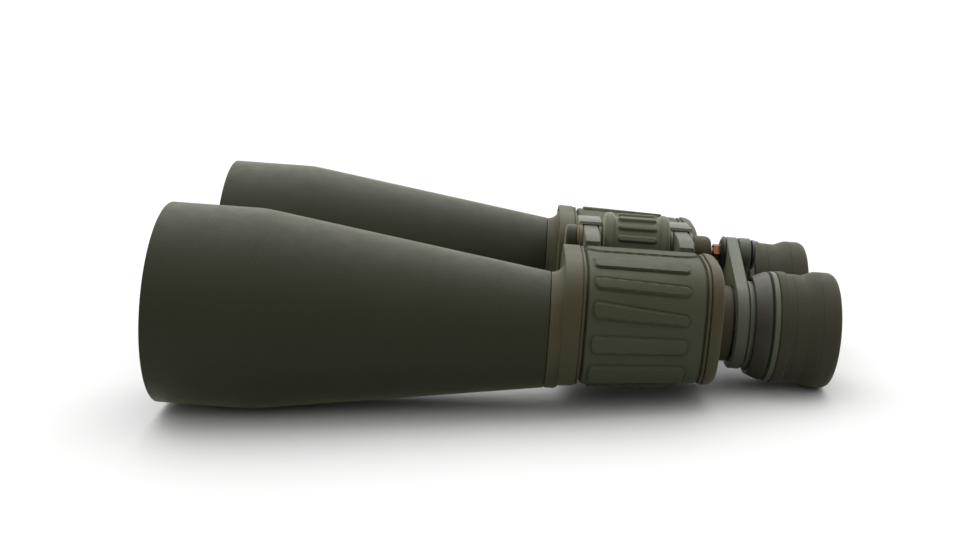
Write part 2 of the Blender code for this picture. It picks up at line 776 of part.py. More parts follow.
def hinge_axle(body):
    """The hollow axle. Its front end is the tripod socket."""
    socket_rear = FRONT_FORK_REAR - 2.0
    bore = AXLE_RADIUS - AXLE_WALL
    profile = [
        (FORK_FRONT - 0.6, SOCKET_RADIUS),
        (FRONT_FORK_REAR, SOCKET_RADIUS),
        (FRONT_FORK_REAR, AXLE_RADIUS),
        (REAR_CAP_FRONT + 2.0, AXLE_RADIUS),
        (REAR_CAP_FRONT + 2.0, bore),
        (socket_rear + 1.0, bore),
        (socket_rear, SOCKET_RADIUS - SOCKET_WALL),
        (FORK_FRONT - 0.6, SOCKET_RADIUS - SOCKET_WALL),
    ]
    turned("hinge_axle", profile, body, "steel", HINGE_AXIS, SMALL_SEGMENTS)


def hinge_washer(body):
    rear = FORK_FRONT - 0.2
    front = rear - WASHER_THICKNESS
    inner = SOCKET_RADIUS + FIT_GAP
    ring("hinge_washer", front, rear, CAP_RADIUS - 0.4, inner, body, "copper", HINGE_AXIS)


def rear_cap(body):
    """The round cap behind the hinge, which the focusing spindle passes through."""
    bore = SPINDLE_RADIUS + 0.4
    recess = AXLE_RADIUS + FIT_GAP
    edge = 1.4
    profile = [
        (REAR_CAP_FRONT, REAR_CAP_RADIUS),
        (REAR_CAP_REAR - edge, REAR_CAP_RADIUS),
        (REAR_CAP_REAR - 0.4 * edge, REAR_CAP_RADIUS - 0.4 * edge),
        (REAR_CAP_REAR, REAR_CAP_RADIUS - edge),
        (REAR_CAP_REAR, bore),
        (REAR_CAP_FRONT + 2.0 + FIT_GAP, bore),
        (REAR_CAP_FRONT + 2.0 + FIT_GAP, recess),
        (REAR_CAP_FRONT, recess),
    ]
    turned("hinge_rear_cap", profile, body, "tan_paint", HINGE_AXIS, SMALL_SEGMENTS)


def tripod_cap(body):
    """The plug that closes the tripod socket."""
    rear = FORK_FRONT - 0.2 - WASHER_THICKNESS - FIT_GAP
    front = rear - CAP_LENGTH
    stem = SOCKET_RADIUS - SOCKET_WALL - FIT_GAP
    profile = [
        (front, 0.0),
        (front, CAP_RADIUS - 1.0),
        (front + 0.3, CAP_RADIUS - 0.3),
        (front + 1.0, CAP_RADIUS),
        (rear, CAP_RADIUS),
        (rear, stem),
        (rear + 8.0, stem),
        (rear + 8.0, 0.0),
    ]
    turned("tripod_socket_cap", profile, body, "green_paint", HINGE_AXIS, SMALL_SEGMENTS)


def wheel_ring(station, radius, rib_height=0.0):
    """A ring of the focus wheel, raised at each rib where a rib height is given."""
    count = WHEEL_RIBS * WHEEL_POINTS_PER_RIB
    points = []
    for i in range(count):
        angle = 2 * math.pi * i / count
        raised = i % WHEEL_POINTS_PER_RIB < 2
        reach = radius + (rib_height if raised else 0.0)
        across = reach * math.sin(angle)
        points.append((across, station, HINGE_HEIGHT + reach * math.cos(angle)))
    return points


def focus_wheel(body):
    """The ribbed wheel between the hinge arms, with a rounded rim at each end."""
    rim = WHEEL_RIM_RADIUS
    drum = WHEEL_DRUM_RADIUS
    bore = AXLE_RADIUS + FIT_GAP
    rim_width = 4.4
    rings = [
        wheel_ring(WHEEL_FRONT, rim - 2.0),
        wheel_ring(WHEEL_FRONT + 1.2, rim - 0.2),
        wheel_ring(WHEEL_FRONT + rim_width - 0.7, rim),
        wheel_ring(WHEEL_FRONT + rim_width, drum),
        wheel_ring(WHEEL_FRONT + rim_width + 2.2, drum),
        wheel_ring(WHEEL_FRONT + rim_width + 2.6, drum, 0.9),
        wheel_ring(WHEEL_REAR - rim_width - 2.6, drum, 0.9),
        wheel_ring(WHEEL_REAR - rim_width - 2.2, drum),
        wheel_ring(WHEEL_REAR - rim_width, drum),
        wheel_ring(WHEEL_REAR - rim_width + 0.7, rim),
        wheel_ring(WHEEL_REAR - 1.2, rim - 0.2),
        wheel_ring(WHEEL_REAR, rim - 2.0),
        wheel_ring(WHEEL_REAR, bore),
        wheel_ring(WHEEL_FRONT, bore),
    ]
    mesh = loft_mesh("focus_wheel", rings, body, True)
    smooth(add_object("focus_wheel", mesh, body, "wheel_rubber", body_place(body)))


def spindle(body):
    """The focusing spindle and the hexagon nut on it."""
    rear = HUB_REAR - 5.5
    profile = [
        (WHEEL_REAR - 8.0, 0.0), (WHEEL_REAR - 8.0, SPINDLE_RADIUS),
        (rear, SPINDLE_RADIUS), (rear, 0.0),
    ]
    turned("focus_spindle", profile, body, "steel", HINGE_AXIS, SMALL_SEGMENTS)
    nut_rear = HUB_FRONT - FIT_GAP
    ring("spindle_nut", NUT_FRONT, nut_rear, SPINDLE_RADIUS + 1.9, SPINDLE_RADIUS + 0.7,
         body, "copper", HINGE_AXIS, 6)


def bridge_hub(body):
    """The round-nosed hub that both bridge arms turn on, and its end screw."""
    bore = SPINDLE_RADIUS + FIT_GAP
    nose_rear = HUB_FRONT + HUB_NOSE_LENGTH
    bore_rear = HUB_REAR - 5.0
    profile = [
        (bore_rear, 0.0),
        (bore_rear, bore),
        (HUB_FRONT, bore),
        (HUB_FRONT, HUB_RADIUS - 2.4),
        (HUB_FRONT + 0.4, HUB_RADIUS - 0.9),
        (HUB_FRONT + 1.0, HUB_RADIUS - 0.2),
        (nose_rear, HUB_RADIUS),
        (nose_rear, HUB_BOSS_RADIUS),
        (HUB_REAR, HUB_BOSS_RADIUS),
        (HUB_REAR, 0.0),
    ]
    turned("bridge_hub", profile, body, "black_anodised", HINGE_AXIS, SMALL_SEGMENTS)
    head_front = HUB_REAR + FIT_GAP
    head = [
        (head_front, 0.0), (head_front, HUB_RADIUS - 0.8), (head_front + 1.0, HUB_RADIUS - 0.8),
        (head_front + 1.8, HUB_RADIUS - 1.8), (head_front + 1.8, 0.0),
    ]
    turned("bridge_screw", head, body, "black_anodised", HINGE_AXIS, SMALL_SEGMENTS)


def bridge_outline(side):
    """The bridge arm seen from the front: two round ends and straight edges."""
    across, height = eyepiece_axis(side)
    run = Vector((abs(across), height - HINGE_HEIGHT))
    slant = math.atan2(run.y, run.x)
    small = HUB_RADIUS - 0.2
    spread = math.acos((small - BRIDGE_RING_RADIUS) / run.length)
    outline = circle_points(
        abs(across), height, BRIDGE_RING_RADIUS, 20, slant - spread, 2 * spread
    )
    outline += circle_points(
        0.0, HINGE_HEIGHT, small, 10, slant + spread, 2 * (math.pi - spread)
    )
    return [(side * x, z) for x, z in outline]


def bridge_arm(side, label, body):
    """The arm from the hub to one eyepiece. The right one lies behind the left."""
    front = SECOND_ARM_FRONT if side > 0 else ARM_FRONT
    rear = front + BRIDGE_THICKNESS
    across, height = eyepiece_axis(side)
    outlines = [
        bridge_outline(side),
        circle_points(across, height, BARREL_RADIUS + FIT_GAP, SMALL_SEGMENTS),
        circle_points(0.0, HINGE_HEIGHT, HUB_BOSS_RADIUS + FIT_GAP, SMALL_SEGMENTS),
    ]
    arm = plate("bridge_arm_" + label, outlines, front, rear, body, "pale_green_paint")
    if side < 0:
        return
    clear = CONE_RADIUS + 1.4
    profile = [
        (CONE_FRONT - FIT_GAP, BRIDGE_RING_RADIUS), (CONE_FRONT - FIT_GAP, clear),
        (rear + 1.0, clear), (rear + 1.0, BARREL_RADIUS - 1.0),
        (FLANGE_REAR, BARREL_RADIUS - 1.0), (FLANGE_REAR, BRIDGE_RING_RADIUS),
    ]
    step = turned(
        "bridge_arm_step", profile, body, None, (across, height), TURN_SEGMENTS, cutter=True
    )
    combine(arm, step, "DIFFERENCE")


def eyepiece_barrel(side, label, body):
    """The sliding barrel with its stop and field lens, and the ring beside the arm."""
    centre = eyepiece_axis(side)
    front = PLATE_FRONT - 4.0
    shoulder = ARM_FRONT - FIT_GAP
    cell_bore = EYE_CELL_STEP_RADIUS + FIT_GAP
    profile = [
        (front, BARREL_STEP_RADIUS),
        (shoulder, BARREL_STEP_RADIUS),
        (shoulder, BARREL_RADIUS),
        (CONE_REAR, BARREL_RADIUS),
        (CONE_REAR, cell_bore),
        (CONE_FRONT - 0.4, cell_bore),
        (CONE_FRONT - 0.8, BARREL_BORE - 1.5),
        (CONE_FRONT - 1.8, BARREL_BORE - 1.5),
        (CONE_FRONT - 1.8, BARREL_BORE),
        (front, BARREL_BORE),
    ]
    turned("eyepiece_barrel_" + label, profile, body, "black_anodised", centre, SMALL_SEGMENTS)
    radius = BARREL_BORE - FIT_GAP
    first = PLATE_FRONT + 6.1
    lens("field_lens_" + label, first, first + 2.5, 1.5, 1.5, radius, body, centre)
    stop_front = CONE_FRONT - 5.0
    ring("field_stop_" + label, stop_front, stop_front + 1.5, radius, radius - 3.6,
         body, "black_anodised", centre)
    inner = BARREL_RADIUS + FIT_GAP
    outer = BRIDGE_RING_RADIUS - 0.3
    if side < 0:
        ring("flange_ring_left", SECOND_ARM_FRONT, FLANGE_REAR, outer, inner,
             body, "pale_green_paint", centre)
    else:
        ring("flange_ring_right", ARM_FRONT, ARM_FRONT + BRIDGE_THICKNESS, outer, inner,
             body, "pale_green_paint", centre)


def cone_ring(name, side, body):
    """The brown ring in front of the eyecup. The right one sets the dioptre."""
    inner = BARREL_RADIUS + FIT_GAP
    floor = FLANGE_REAR + FIT_GAP
    profile = [
        (CONE_FRONT, SKIRT_RADIUS - 0.6),
        (CONE_FRONT + 0.5, SKIRT_RADIUS),
        (CONE_REAR - 1.1, CONE_RADIUS),
        (CONE_REAR, CONE_RADIUS - 0.1),
        (CONE_REAR, inner),
        (floor, inner),
        (floor, SKIRT_BORE),
        (CONE_FRONT, SKIRT_BORE),
    ]
    turned(name, profile, body, "dark_brown_paint", eyepiece_axis(side))


def ocular(side, label, body):
    """The eye lens in its cell, with the pale ring round the cell's front."""
    centre = eyepiece_axis(side)
    seat = OCULAR_FRONT + 5.0
    bore = EYE_LENS_RADIUS + FIT_GAP
    clear = EYE_CELL_STEP_RADIUS - CELL_STEP_WALL
    front = OCULAR_FRONT - 5.5
    profile = [
        (front, EYE_CELL_STEP_RADIUS),
        (OCULAR_FRONT, EYE_CELL_STEP_RADIUS),
        (OCULAR_FRONT, BARREL_RADIUS),
        (EYE_CELL_REAR, BARREL_RADIUS),
        (EYE_CELL_REAR, bore),
        (seat, bore),
        (seat - 0.5, clear),
        (front, clear),
    ]
    turned("ocular_cell_" + label, profile, body, "black_anodised", centre, SMALL_SEGMENTS)
    ring_front = EYE_CELL_REAR - 1.9
    lens("eye_lens_" + label, seat + 2.0, ring_front - 1.0, 1.6, 0.8,
         EYE_LENS_RADIUS, body, centre)
    ring("eye_lens_ring_" + label, ring_front, EYE_CELL_REAR - 0.2, EYE_LENS_RADIUS,
         EYE_LENS_RADIUS - 1.4, body, "black_anodised", centre)
    rear = OCULAR_FRONT + OCULAR_RING_LENGTH
    ring("ocular_ring_" + label, OCULAR_FRONT, rear, OCULAR_RING_RADIUS,
         BARREL_RADIUS + FIT_GAP, body, "pale_green_paint", centre, TURN_SEGMENTS)


def eyecup(side, label, body):
    """The soft eyecup: a waist between its seat and its flared rim."""
    front = CUP_FRONT
    rear = CUP_REAR
    profile = [
        (front, CUP_RADIUS - 0.5),
        (front + 0.4, CUP_RADIUS),
        (front + 4.0, CUP_RADIUS),
        (front + 5.0, CUP_WAIST_RADIUS + 0.1),
        (rear - 13.0, CUP_WAIST_RADIUS),
        (rear - 8.6, CUP_RIM_RADIUS - 0.1),
        (rear - 7.8, CUP_RIM_RADIUS),
        (rear - 2.6, CUP_RIM_RADIUS),
        (rear - 0.8, CUP_RIM_RADIUS - 0.7),
        (rear, CUP_RIM_RADIUS - 2.0),
        (rear, CUP_MOUTH_RADIUS),
        (rear - 1.0, CUP_MOUTH_RADIUS - 0.5),
        (rear - 11.9, CUP_MOUTH_RADIUS - 1.0),
        (CUP_FLOOR_STATION, CUP_MOUTH_RADIUS - 1.9),
        (CUP_FLOOR_STATION, BARREL_RADIUS + FIT_GAP),
        (front, BARREL_RADIUS + FIT_GAP),
    ]
    turned("eyecup_" + label, profile, body, "eyecup_rubber", eyepiece_axis(side))


def rest_pose(root):
    """Tip the instrument on to its bells and eyecups and centre it on the origin."""
    bell_radius = BELL_RADIUS - TUBE_SLOPE * BELL_BLEND / 4
    cup_radius = CUP_RIM_RADIUS - EYEPIECE_HEIGHT
    run = CUP_REAR - 2.6 - BELL_LENGTH
    tilt = math.atan2(bell_radius - cup_radius, run)
    front = (BELL_RADIUS - RIM_CHAMFER) * math.sin(tilt)
    cup_top = EYEPIECE_HEIGHT + CUP_RIM_RADIUS - 2.0
    rear = CUP_REAR * math.cos(tilt) + cup_top * math.sin(tilt)
    drop = BELL_LENGTH * math.sin(tilt) + bell_radius * math.cos(tilt)
    root.rotation_euler = (tilt, 0.0, 0.0)
    root.location = (0.0, (rear - front) / 2 * MM, drop * MM)


def build():
    root = make_axis("rest_frame", 0.0, 0.0, 0.0)
    rest_pose(root)
    hinge_station = (FORK_FRONT + REAR_FORK_REAR) / 2
    left = make_axis("left_half_frame", 0.0, hinge_station, HINGE_HEIGHT, root)
    right = make_axis("right_half_axis", 0.0, hinge_station, HINGE_HEIGHT, root)
    wheel = make_axis("focus_wheel_axis", 0.0, hinge_station, HINGE_HEIGHT, root)
    cap = make_axis("tripod_cap_axis", 0.0, FORK_FRONT, HINGE_HEIGHT, root)
    bridge_left = make_axis("left_slide_axis", 0.0, HUB_FRONT, HINGE_HEIGHT, left)
    bridge_right = make_axis("right_slide_axis", 0.0, HUB_FRONT, HINGE_HEIGHT, right)
    across, height = eyepiece_axis(1)
    dioptre = make_axis("dioptre_axis", across, CONE_FRONT, height, bridge_right)
    ocular_right = make_axis("right_ocular_axis", across, OCULAR_FRONT, height, bridge_right)
    half(-1, "left", left)
    half(1, "right", right)
    hinge_axle(left)
    hinge_washer(left)
    rear_cap(left)
    tripod_cap(cap)
    focus_wheel(wheel)
    spindle(bridge_left)
    bridge_hub(bridge_left)
    for side, label, slide in ((-1, "left", bridge_left), (1, "right", bridge_right)):
        bridge_arm(side, label, slide)
        eyepiece_barrel(side, label, slide)
    cone_ring("cone_ring_left", -1, bridge_left)
    cone_ring("dioptre_ring", 1, dioptre)
    for side, label, carrier in ((-1, "left", bridge_left), (1, "right", ocular_right)):
        ocular(side, label, carrier)
        eyecup(side, label, carrier)


clear_scene()
parts = new_collection(NAME)
cutters = new_collection(NAME + "_cutters")
build()
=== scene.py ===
"""Looks of the Porro binoculars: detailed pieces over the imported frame.

Lengths are in millimetres along the optical axes: a "station" is a distance behind
the objective tubes' front rims, across is towards the user's right, and height is
measured from the plane of the objective axes. Everything is made in that tilted
frame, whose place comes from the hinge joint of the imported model.
"""
import json
import math

import bmesh
import bpy
import numpy as np
from mathutils import Matrix, Vector

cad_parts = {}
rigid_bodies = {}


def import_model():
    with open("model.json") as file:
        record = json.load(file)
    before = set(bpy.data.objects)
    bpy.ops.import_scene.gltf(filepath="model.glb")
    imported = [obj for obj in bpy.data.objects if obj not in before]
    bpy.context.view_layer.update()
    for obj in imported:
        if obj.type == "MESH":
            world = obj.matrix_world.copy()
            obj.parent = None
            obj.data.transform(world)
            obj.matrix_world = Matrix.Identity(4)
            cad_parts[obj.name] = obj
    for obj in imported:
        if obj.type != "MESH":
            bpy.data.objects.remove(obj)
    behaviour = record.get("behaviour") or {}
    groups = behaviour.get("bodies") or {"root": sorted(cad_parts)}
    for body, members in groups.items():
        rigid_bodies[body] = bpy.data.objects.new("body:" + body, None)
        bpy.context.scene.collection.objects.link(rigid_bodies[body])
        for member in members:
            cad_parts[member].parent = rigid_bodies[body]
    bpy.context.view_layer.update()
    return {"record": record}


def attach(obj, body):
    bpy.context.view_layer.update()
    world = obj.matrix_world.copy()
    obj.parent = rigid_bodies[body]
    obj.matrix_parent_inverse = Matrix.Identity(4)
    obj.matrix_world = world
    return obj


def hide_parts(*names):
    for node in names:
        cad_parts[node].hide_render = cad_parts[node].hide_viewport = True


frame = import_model()

MM = 0.001
OBJECTIVE_SPACING = 123.3
EYEPIECE_SPACING = 66.8
EYEPIECE_HEIGHT = 1.0
HINGE_HEIGHT = 25.0
HINGE_STATION = 194.1
HINGE = (0.0, HINGE_HEIGHT)
FINE = 144
MEDIUM = 96
SMALL = 64

# Stations of the main joints between pieces
TUBE_REAR = 155.8
NECK_FRONT = 156.1
BAND_REAR = 168.0
ARMOUR_FRONT = 170.3
ARMOUR_REAR = 218.1
HOUSING_REAR = 219.9
PLATE_FRONT = 220.4
PLATE_REAR = 225.6
WHEEL_FRONT = 179.6
WHEEL_REAR = 208.4
LEFT_ARM_FRONT = 234.3
RIGHT_ARM_FRONT = 240.0
BRIDGE_THICKNESS = 5.3
CONE_FRONT = 241.8
CONE_REAR = 248.4
OCULAR_FRONT = 249.5
CUP_FRONT = 251.9
CUP_REAR = 276.9

# The housing's outside: a rounded section that narrows towards the rear
SECTION_OUTWARDS = 49.75
SECTION_HEIGHT = 4.3
HALF_WIDTH = 36.3
HALF_HEIGHT = 26.6
TAPER = 6.6
LIFT = 0.9
THINNING = 1.3
TAPER_START = 160.0
TAPER_LENGTH = 65.6
CORNER_POWER = 3.2
NECK_RADIUS = 23.6


def joint_named(name):
    """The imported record's entry for a joint."""
    for joint in frame["record"]["behaviour"]["joints"]:
        if joint["name"] == name:
            return joint
    raise KeyError(name)


def optics_matrix():
    """From the optical frame, in metres with Y forwards, to the row frame."""
    joint = joint_named("interpupillary_hinge")
    forward = Vector(joint["axis"]).normalized()
    across = Vector((1.0, 0.0, 0.0))
    up = across.cross(forward)
    origin = Vector(joint["pos_m"]) + forward * HINGE_STATION * MM - up * HINGE_HEIGHT * MM
    turn = Matrix((across, forward, up)).transposed().to_4x4()
    return Matrix.Translation(origin) @ turn


OPTICS = optics_matrix()
BODY_OF_NODE = {
    node: body
    for body, nodes in frame["record"]["behaviour"]["bodies"].items()
    for node in nodes
}
SLOT_OF_NODE = {
    entry["node"]: entry["material_slot"] for entry in frame["record"]["subparts"]
}


# ---------------------------------------------------------------- materials

def colour(red, green, blue):
    """A colour given as it looks on screen, turned into scene-linear values."""
    linear = [((c / 255 + 0.055) / 1.055) ** 2.4 for c in (red, green, blue)]
    return (*linear, 1.0)


class Nodes:
    """A small helper that adds and links shader nodes in one material."""

    def __init__(self, name):
        self.material = bpy.data.materials.new(name)
        self.material.use_nodes = True
        self.tree = self.material.node_tree
        self.shader = self.tree.nodes["Principled BSDF"]
        self.where = self.add("ShaderNodeTexCoord").outputs["Object"]

    def add(self, kind, **values):
        """A new node of a kind, with some of its settings."""
        node = self.tree.nodes.new(kind)
        for key, value in values.items():
            setattr(node, key, value)
        return node

    def link(self, output, target):
        """Feed an output into an input."""
        self.tree.links.new(output, target)

    def noise(self, scale, detail=3.0, roughness=0.55, stretch=None):
        """A noise in object space, in metres, which may be stretched."""
        node = self.add("ShaderNodeTexNoise")
        node.inputs["Scale"].default_value = scale
        node.inputs["Detail"].default_value = detail
        node.inputs["Roughness"].default_value = roughness
        if stretch is None:
            self.link(self.where, node.inputs["Vector"])
            return node.outputs["Fac"]
        mapping = self.add("ShaderNodeMapping")
        mapping.inputs["Scale"].default_value = stretch
        self.link(self.where, mapping.inputs["Vector"])
        self.link(mapping.outputs["Vector"], node.inputs["Vector"])
        return node.outputs["Fac"]

    def ramp(self, source, low, high, low_value=0.0, high_value=1.0):
        """A value mapped in a straight line from one range to another."""
        node = self.add("ShaderNodeMapRange")
        node.inputs["From Min"].default_value = low
        node.inputs["From Max"].default_value = high
        node.inputs["To Min"].default_value = low_value
        node.inputs["To Max"].default_value = high_value
        self.link(source, node.inputs["Value"])
        return node.outputs["Result"]

    def mix(self, factor, first, second):
        """Blend two colours, each a fixed colour or another node's output."""
        node = self.add("ShaderNodeMix", data_type="RGBA")
        self.link(factor, node.inputs["Factor"])
        for socket, value in ((node.inputs[6], first), (node.inputs[7], second)):
            if isinstance(value, bpy.types.NodeSocket):
                self.link(value, socket)
            else:
                socket.default_value = value
        return node.outputs[2]

    def bump(self, height, distance, strength=1.0, normal=None):
        """A bump over the surface or over another bump."""
        node = self.add("ShaderNodeBump")
        node.inputs["Distance"].default_value = distance
        node.inputs["Strength"].default_value = strength
        self.link(height, node.inputs["Height"])
        if normal is not None:
            self.link(normal, node.inputs["Normal"])
        return node.outputs["Normal"]

    def worn_and_highlit_edges(self, amount):
        """Where the surface is sharply convex, broken up by a fine noise: the mask for lighter
        edges, partly paint wear and partly a painted highlight.
        """
        pointed = self.add("ShaderNodeNewGeometry").outputs["Pointiness"]
        edge = self.ramp(pointed, 0.53, 0.60, 0.0, amount)
        patchy = self.ramp(self.noise(900.0), 0.42, 0.62)
        both = self.add("ShaderNodeMath", operation="MULTIPLY")
        self.link(edge, both.inputs[0])
        self.link(patchy, both.inputs[1])
        return both.outputs["Value"]


def coating(name, base, tint, worn, roughness, grain=2600.0, depth=0.00006, gloss=0.4,
            wear_and_highlight=0.35, sheen=0.0):
    """A matte paint or rubber: fine grain, slow colour drift and lighter edges, which are partly
    wear and partly a painted highlight.
    """
    nodes = Nodes(name)
    drift = nodes.ramp(nodes.noise(28.0, 4.0), 0.3, 0.7)
    speckle = nodes.ramp(nodes.noise(grain, 2.0, 0.6), 0.35, 0.65)
    body = nodes.mix(nodes.ramp(drift, 0.0, 1.0, 0.0, 0.8), base, tint)
    dark = nodes.mix(nodes.ramp(speckle, 0.0, 1.0, 0.22, 0.0), body, tuple(
        value * 0.55 for value in base[:3]) + (1.0,))
    # The lighter edge colour on convex edges is partly paint wear and partly a painted highlight
    # where edges catch the light.
    edged = nodes.mix(nodes.worn_and_highlit_edges(wear_and_highlight), dark, worn)
    nodes.link(edged, nodes.shader.inputs["Base Color"])
    rough = nodes.ramp(nodes.noise(160.0, 3.0), 0.3, 0.7, roughness - 0.05, roughness + 0.06)
    nodes.link(rough, nodes.shader.inputs["Roughness"])
    nodes.shader.inputs["Specular IOR Level"].default_value = gloss
    if sheen:
        nodes.shader.inputs["Sheen Weight"].default_value = sheen
        nodes.shader.inputs["Sheen Roughness"].default_value = 0.35
        nodes.shader.inputs["Sheen Tint"].default_value = (0.9, 0.9, 0.58, 1.0)
    soft = nodes.bump(nodes.noise(420.0, 2.0), 0.00008, 0.25)
    nodes.link(nodes.bump(speckle, depth, 0.5, soft), nodes.shader.inputs["Normal"])
    return nodes.material


def metal(name, base, worn, roughness, brushed=(1.0, 30.0, 1.0)):
    """Turned metal with fine rings and a little tarnish."""
    nodes = Nodes(name)
    tarnish = nodes.ramp(nodes.noise(240.0, 4.0), 0.45, 0.75, 0.0, 0.6)
    nodes.link(nodes.mix(tarnish, base, worn), nodes.shader.inputs["Base Color"])
    nodes.shader.inputs["Metallic"].default_value = 1.0
    rough = nodes.ramp(nodes.noise(500.0), 0.3, 0.7, roughness - 0.06, roughness + 0.1)
    nodes.link(rough, nodes.shader.inputs["Roughness"])
    rings = nodes.noise(300.0, 2.0, 0.5, brushed)
    nodes.link(nodes.bump(rings, 0.00004, 0.5), nodes.shader.inputs["Normal"])
    return nodes.material


def coated_glass(name, tint, roughness=0.03):
    """Lens glass: dark, clear and glossy, with a thin coloured coating."""
    nodes = Nodes(name)
    dust = nodes.ramp(nodes.noise(60.0, 5.0, 0.6), 0.55, 0.8, 0.0, 0.05)
    nodes.link(nodes.mix(dust, tint, colour(190, 192, 188)), nodes.shader.inputs["Base Color"])
    smear = nodes.ramp(nodes.noise(90.0), 0.4, 0.8, roughness, roughness + 0.06)
    nodes.link(smear, nodes.shader.inputs["Roughness"])
    nodes.shader.inputs["IOR"].default_value = 1.55
    nodes.shader.inputs["Transmission Weight"].default_value = 0.55
    nodes.shader.inputs["Coat Weight"].default_value = 0.6
    nodes.shader.inputs["Coat Roughness"].default_value = 0.02
    nodes.shader.inputs["Coat Tint"].default_value = (0.55, 0.6, 1.0, 1.0)
    return nodes.material


FINISHES = {
    "green_paint": coating(
        "green_paint_textured", colour(36, 37, 23), colour(38, 39, 24), colour(84, 84, 64),
        0.46, gloss=0.1, wear_and_highlight=0.2, sheen=0.22,
    ),
    "tan_paint": coating(
        "tan_paint_textured", colour(55, 51, 35), colour(59, 55, 39), colour(100, 94, 70),
        0.5, gloss=0.1, wear_and_highlight=0.3, sheen=0.1,
    ),
    "green_rubber": coating(
        "green_rubber_moulded", colour(52, 55, 39), colour(56, 59, 43), colour(86, 87, 66),
        0.6, grain=1900.0, depth=0.00008, gloss=0.1, wear_and_highlight=0.3, sheen=0.05,
    ),
    "pale_green_paint": coating(
        "pale_green_paint_satin", colour(62, 66, 51), colour(66, 69, 55), colour(104, 106, 88),
        0.42, gloss=0.2, wear_and_highlight=0.25, sheen=0.1,
    ),
    "wheel_rubber": coating(
        "wheel_rubber_moulded", colour(66, 69, 53), colour(70, 72, 56), colour(104, 106, 86),
        0.5, grain=1900.0, gloss=0.15, wear_and_highlight=0.4, sheen=0.3,
    ),
    "eyecup_rubber": coating(
        "eyecup_rubber_soft", colour(46, 44, 32), colour(50, 48, 36), colour(74, 71, 55),
        0.6, grain=1500.0, depth=0.00007, gloss=0.1, wear_and_highlight=0.2, sheen=0.15,
    ),
    "dark_brown_paint": coating(
        "dark_brown_paint_satin", colour(35, 33, 20), colour(39, 37, 24), colour(68, 64, 46),
        0.42, gloss=0.25, wear_and_highlight=0.3,
    ),
    "black_anodised": coating(
        "black_anodised_satin", colour(24, 24, 22), colour(28, 27, 24), colour(70, 68, 62),
        0.38, grain=3200.0, depth=0.00003, gloss=0.3, wear_and_highlight=0.3,
    ),
    "steel": metal("steel_turned", colour(128, 112, 104), colour(96, 80, 70), 0.36),
    "copper": metal("copper_washer", colour(118, 78, 54), colour(78, 50, 36), 0.45),
    "coated_glass": coated_glass("glass_coated", colour(30, 34, 44)),
}


def finish(piece, slot):
    """Give a piece the one material of its slot."""
    piece.data.materials.clear()
    piece.data.materials.append(FINISHES[slot])


# ------------------------------------------------------------ mesh building

def new_piece(name, vertices, faces, sharp=32.0):
    """A piece from points in the optical frame, in millimetres with Y forwards."""
    mesh = bpy.data.meshes.new(name)
    mesh.from_pydata([tuple(v) for v in np.asarray(vertices) * MM], [], faces)
    mesh.transform(OPTICS)
    work = bmesh.new()
    work.from_mesh(mesh)
    bmesh.ops.remove_doubles(work, verts=work.verts, dist=1e-7)
    bmesh.ops.recalc_face_normals(work, faces=work.faces)
    work.to_mesh(mesh)
    work.free()
    for face in mesh.polygons:
        face.use_smooth = True
    mesh.set_sharp_from_angle(angle=math.radians(sharp))
    piece = bpy.data.objects.new(name, mesh)
    bpy.context.scene.collection.objects.link(piece)
    return piece


def dress(piece, node=None, body=None, slot=None):
    """Ride on the body of the CAD node that the piece stands for, or on a named one."""
    finish(piece, slot or SLOT_OF_NODE[node])
    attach(piece, body or BODY_OF_NODE[node])
    if node:
        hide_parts(node)
    return piece


def grid_faces(rows, columns, closed_rows):
    """Quads over a grid whose columns go all the way round."""
    faces = []
    last = rows if closed_rows else rows - 1
    for i in range(last):
        for j in range(columns):
            k = (j + 1) % columns
            below = (i + 1) % rows
            faces.append((i * columns + j, i * columns + k, below * columns + k,
                          below * columns + j))
    return faces


def filleted(corners):
    """Profile points from (station, radius) or (station, radius, fillet) corners."""
    points = []
    count = len(corners)
    for i, corner in enumerate(corners):
        here = np.array(corner[:2], float)
        size = corner[2] if len(corner) > 2 else 0.0
        if size <= 0.0:
            points.append(tuple(here))
            continue
        before = np.array(corners[i - 1][:2], float) - here
        after = np.array(corners[(i + 1) % count][:2], float) - here
        reach_before = min(size, 0.49 * np.linalg.norm(before))
        reach_after = min(size, 0.49 * np.linalg.norm(after))
        start = here + before / np.linalg.norm(before) * reach_before
        end = here + after / np.linalg.norm(after) * reach_after
        for t in np.linspace(0.0, 1.0, 6):
            point = (1 - t) ** 2 * start + 2 * t * (1 - t) * here + t ** 2 * end
            points.append(tuple(point))
    return points


def turned(name, corners, centre, segments=MEDIUM, closed=True):
    """A turned piece round an axis at centre, given as (across, height)."""
    profile = filleted(corners)
    angles = np.linspace(0.0, 2 * math.pi, segments, endpoint=False)
    vertices = []
    for station, radius in profile:
        across = centre[0] + radius * np.cos(angles)
        height = centre[1] + radius * np.sin(angles)
        forward = np.full(segments, -station)
        vertices.append(np.stack([across, forward, height], axis=1))
    faces = grid_faces(len(profile), segments, closed)
    return new_piece(name, np.concatenate(vertices), faces)


def loft(name, rings, closed=True, sharp=32.0):
    """A skin over rings of (across, station, height) points."""
    vertices = np.array(rings, float)
    rows, columns = vertices.shape[:2]
    flat = vertices.reshape(-1, 3) * np.array([1.0, -1.0, 1.0])
    return new_piece(name, flat, grid_faces(rows, columns, closed), sharp)


def lens_piece(name, front_edge, rear_edge, front_bulge, rear_bulge, radius, centre):
    """A lens with smooth curved faces, closed at its poles."""
    front = [(front_edge - front_bulge * (1 - t * t), radius * t) for t in np.linspace(0.0, 1, 12)]
    rear = [(rear_edge + rear_bulge * (1 - t * t), radius * t) for t in np.linspace(1, 0.0, 12)]
    return turned(name, front + rear, centre, SMALL, closed=False)


def smooth_step(value, low, high):
    """Rises from 0 to 1 between two values, level at both ends."""
    share = np.clip((value - low) / (high - low), 0.0, 1.0)
    return share * share * (3 - 2 * share)


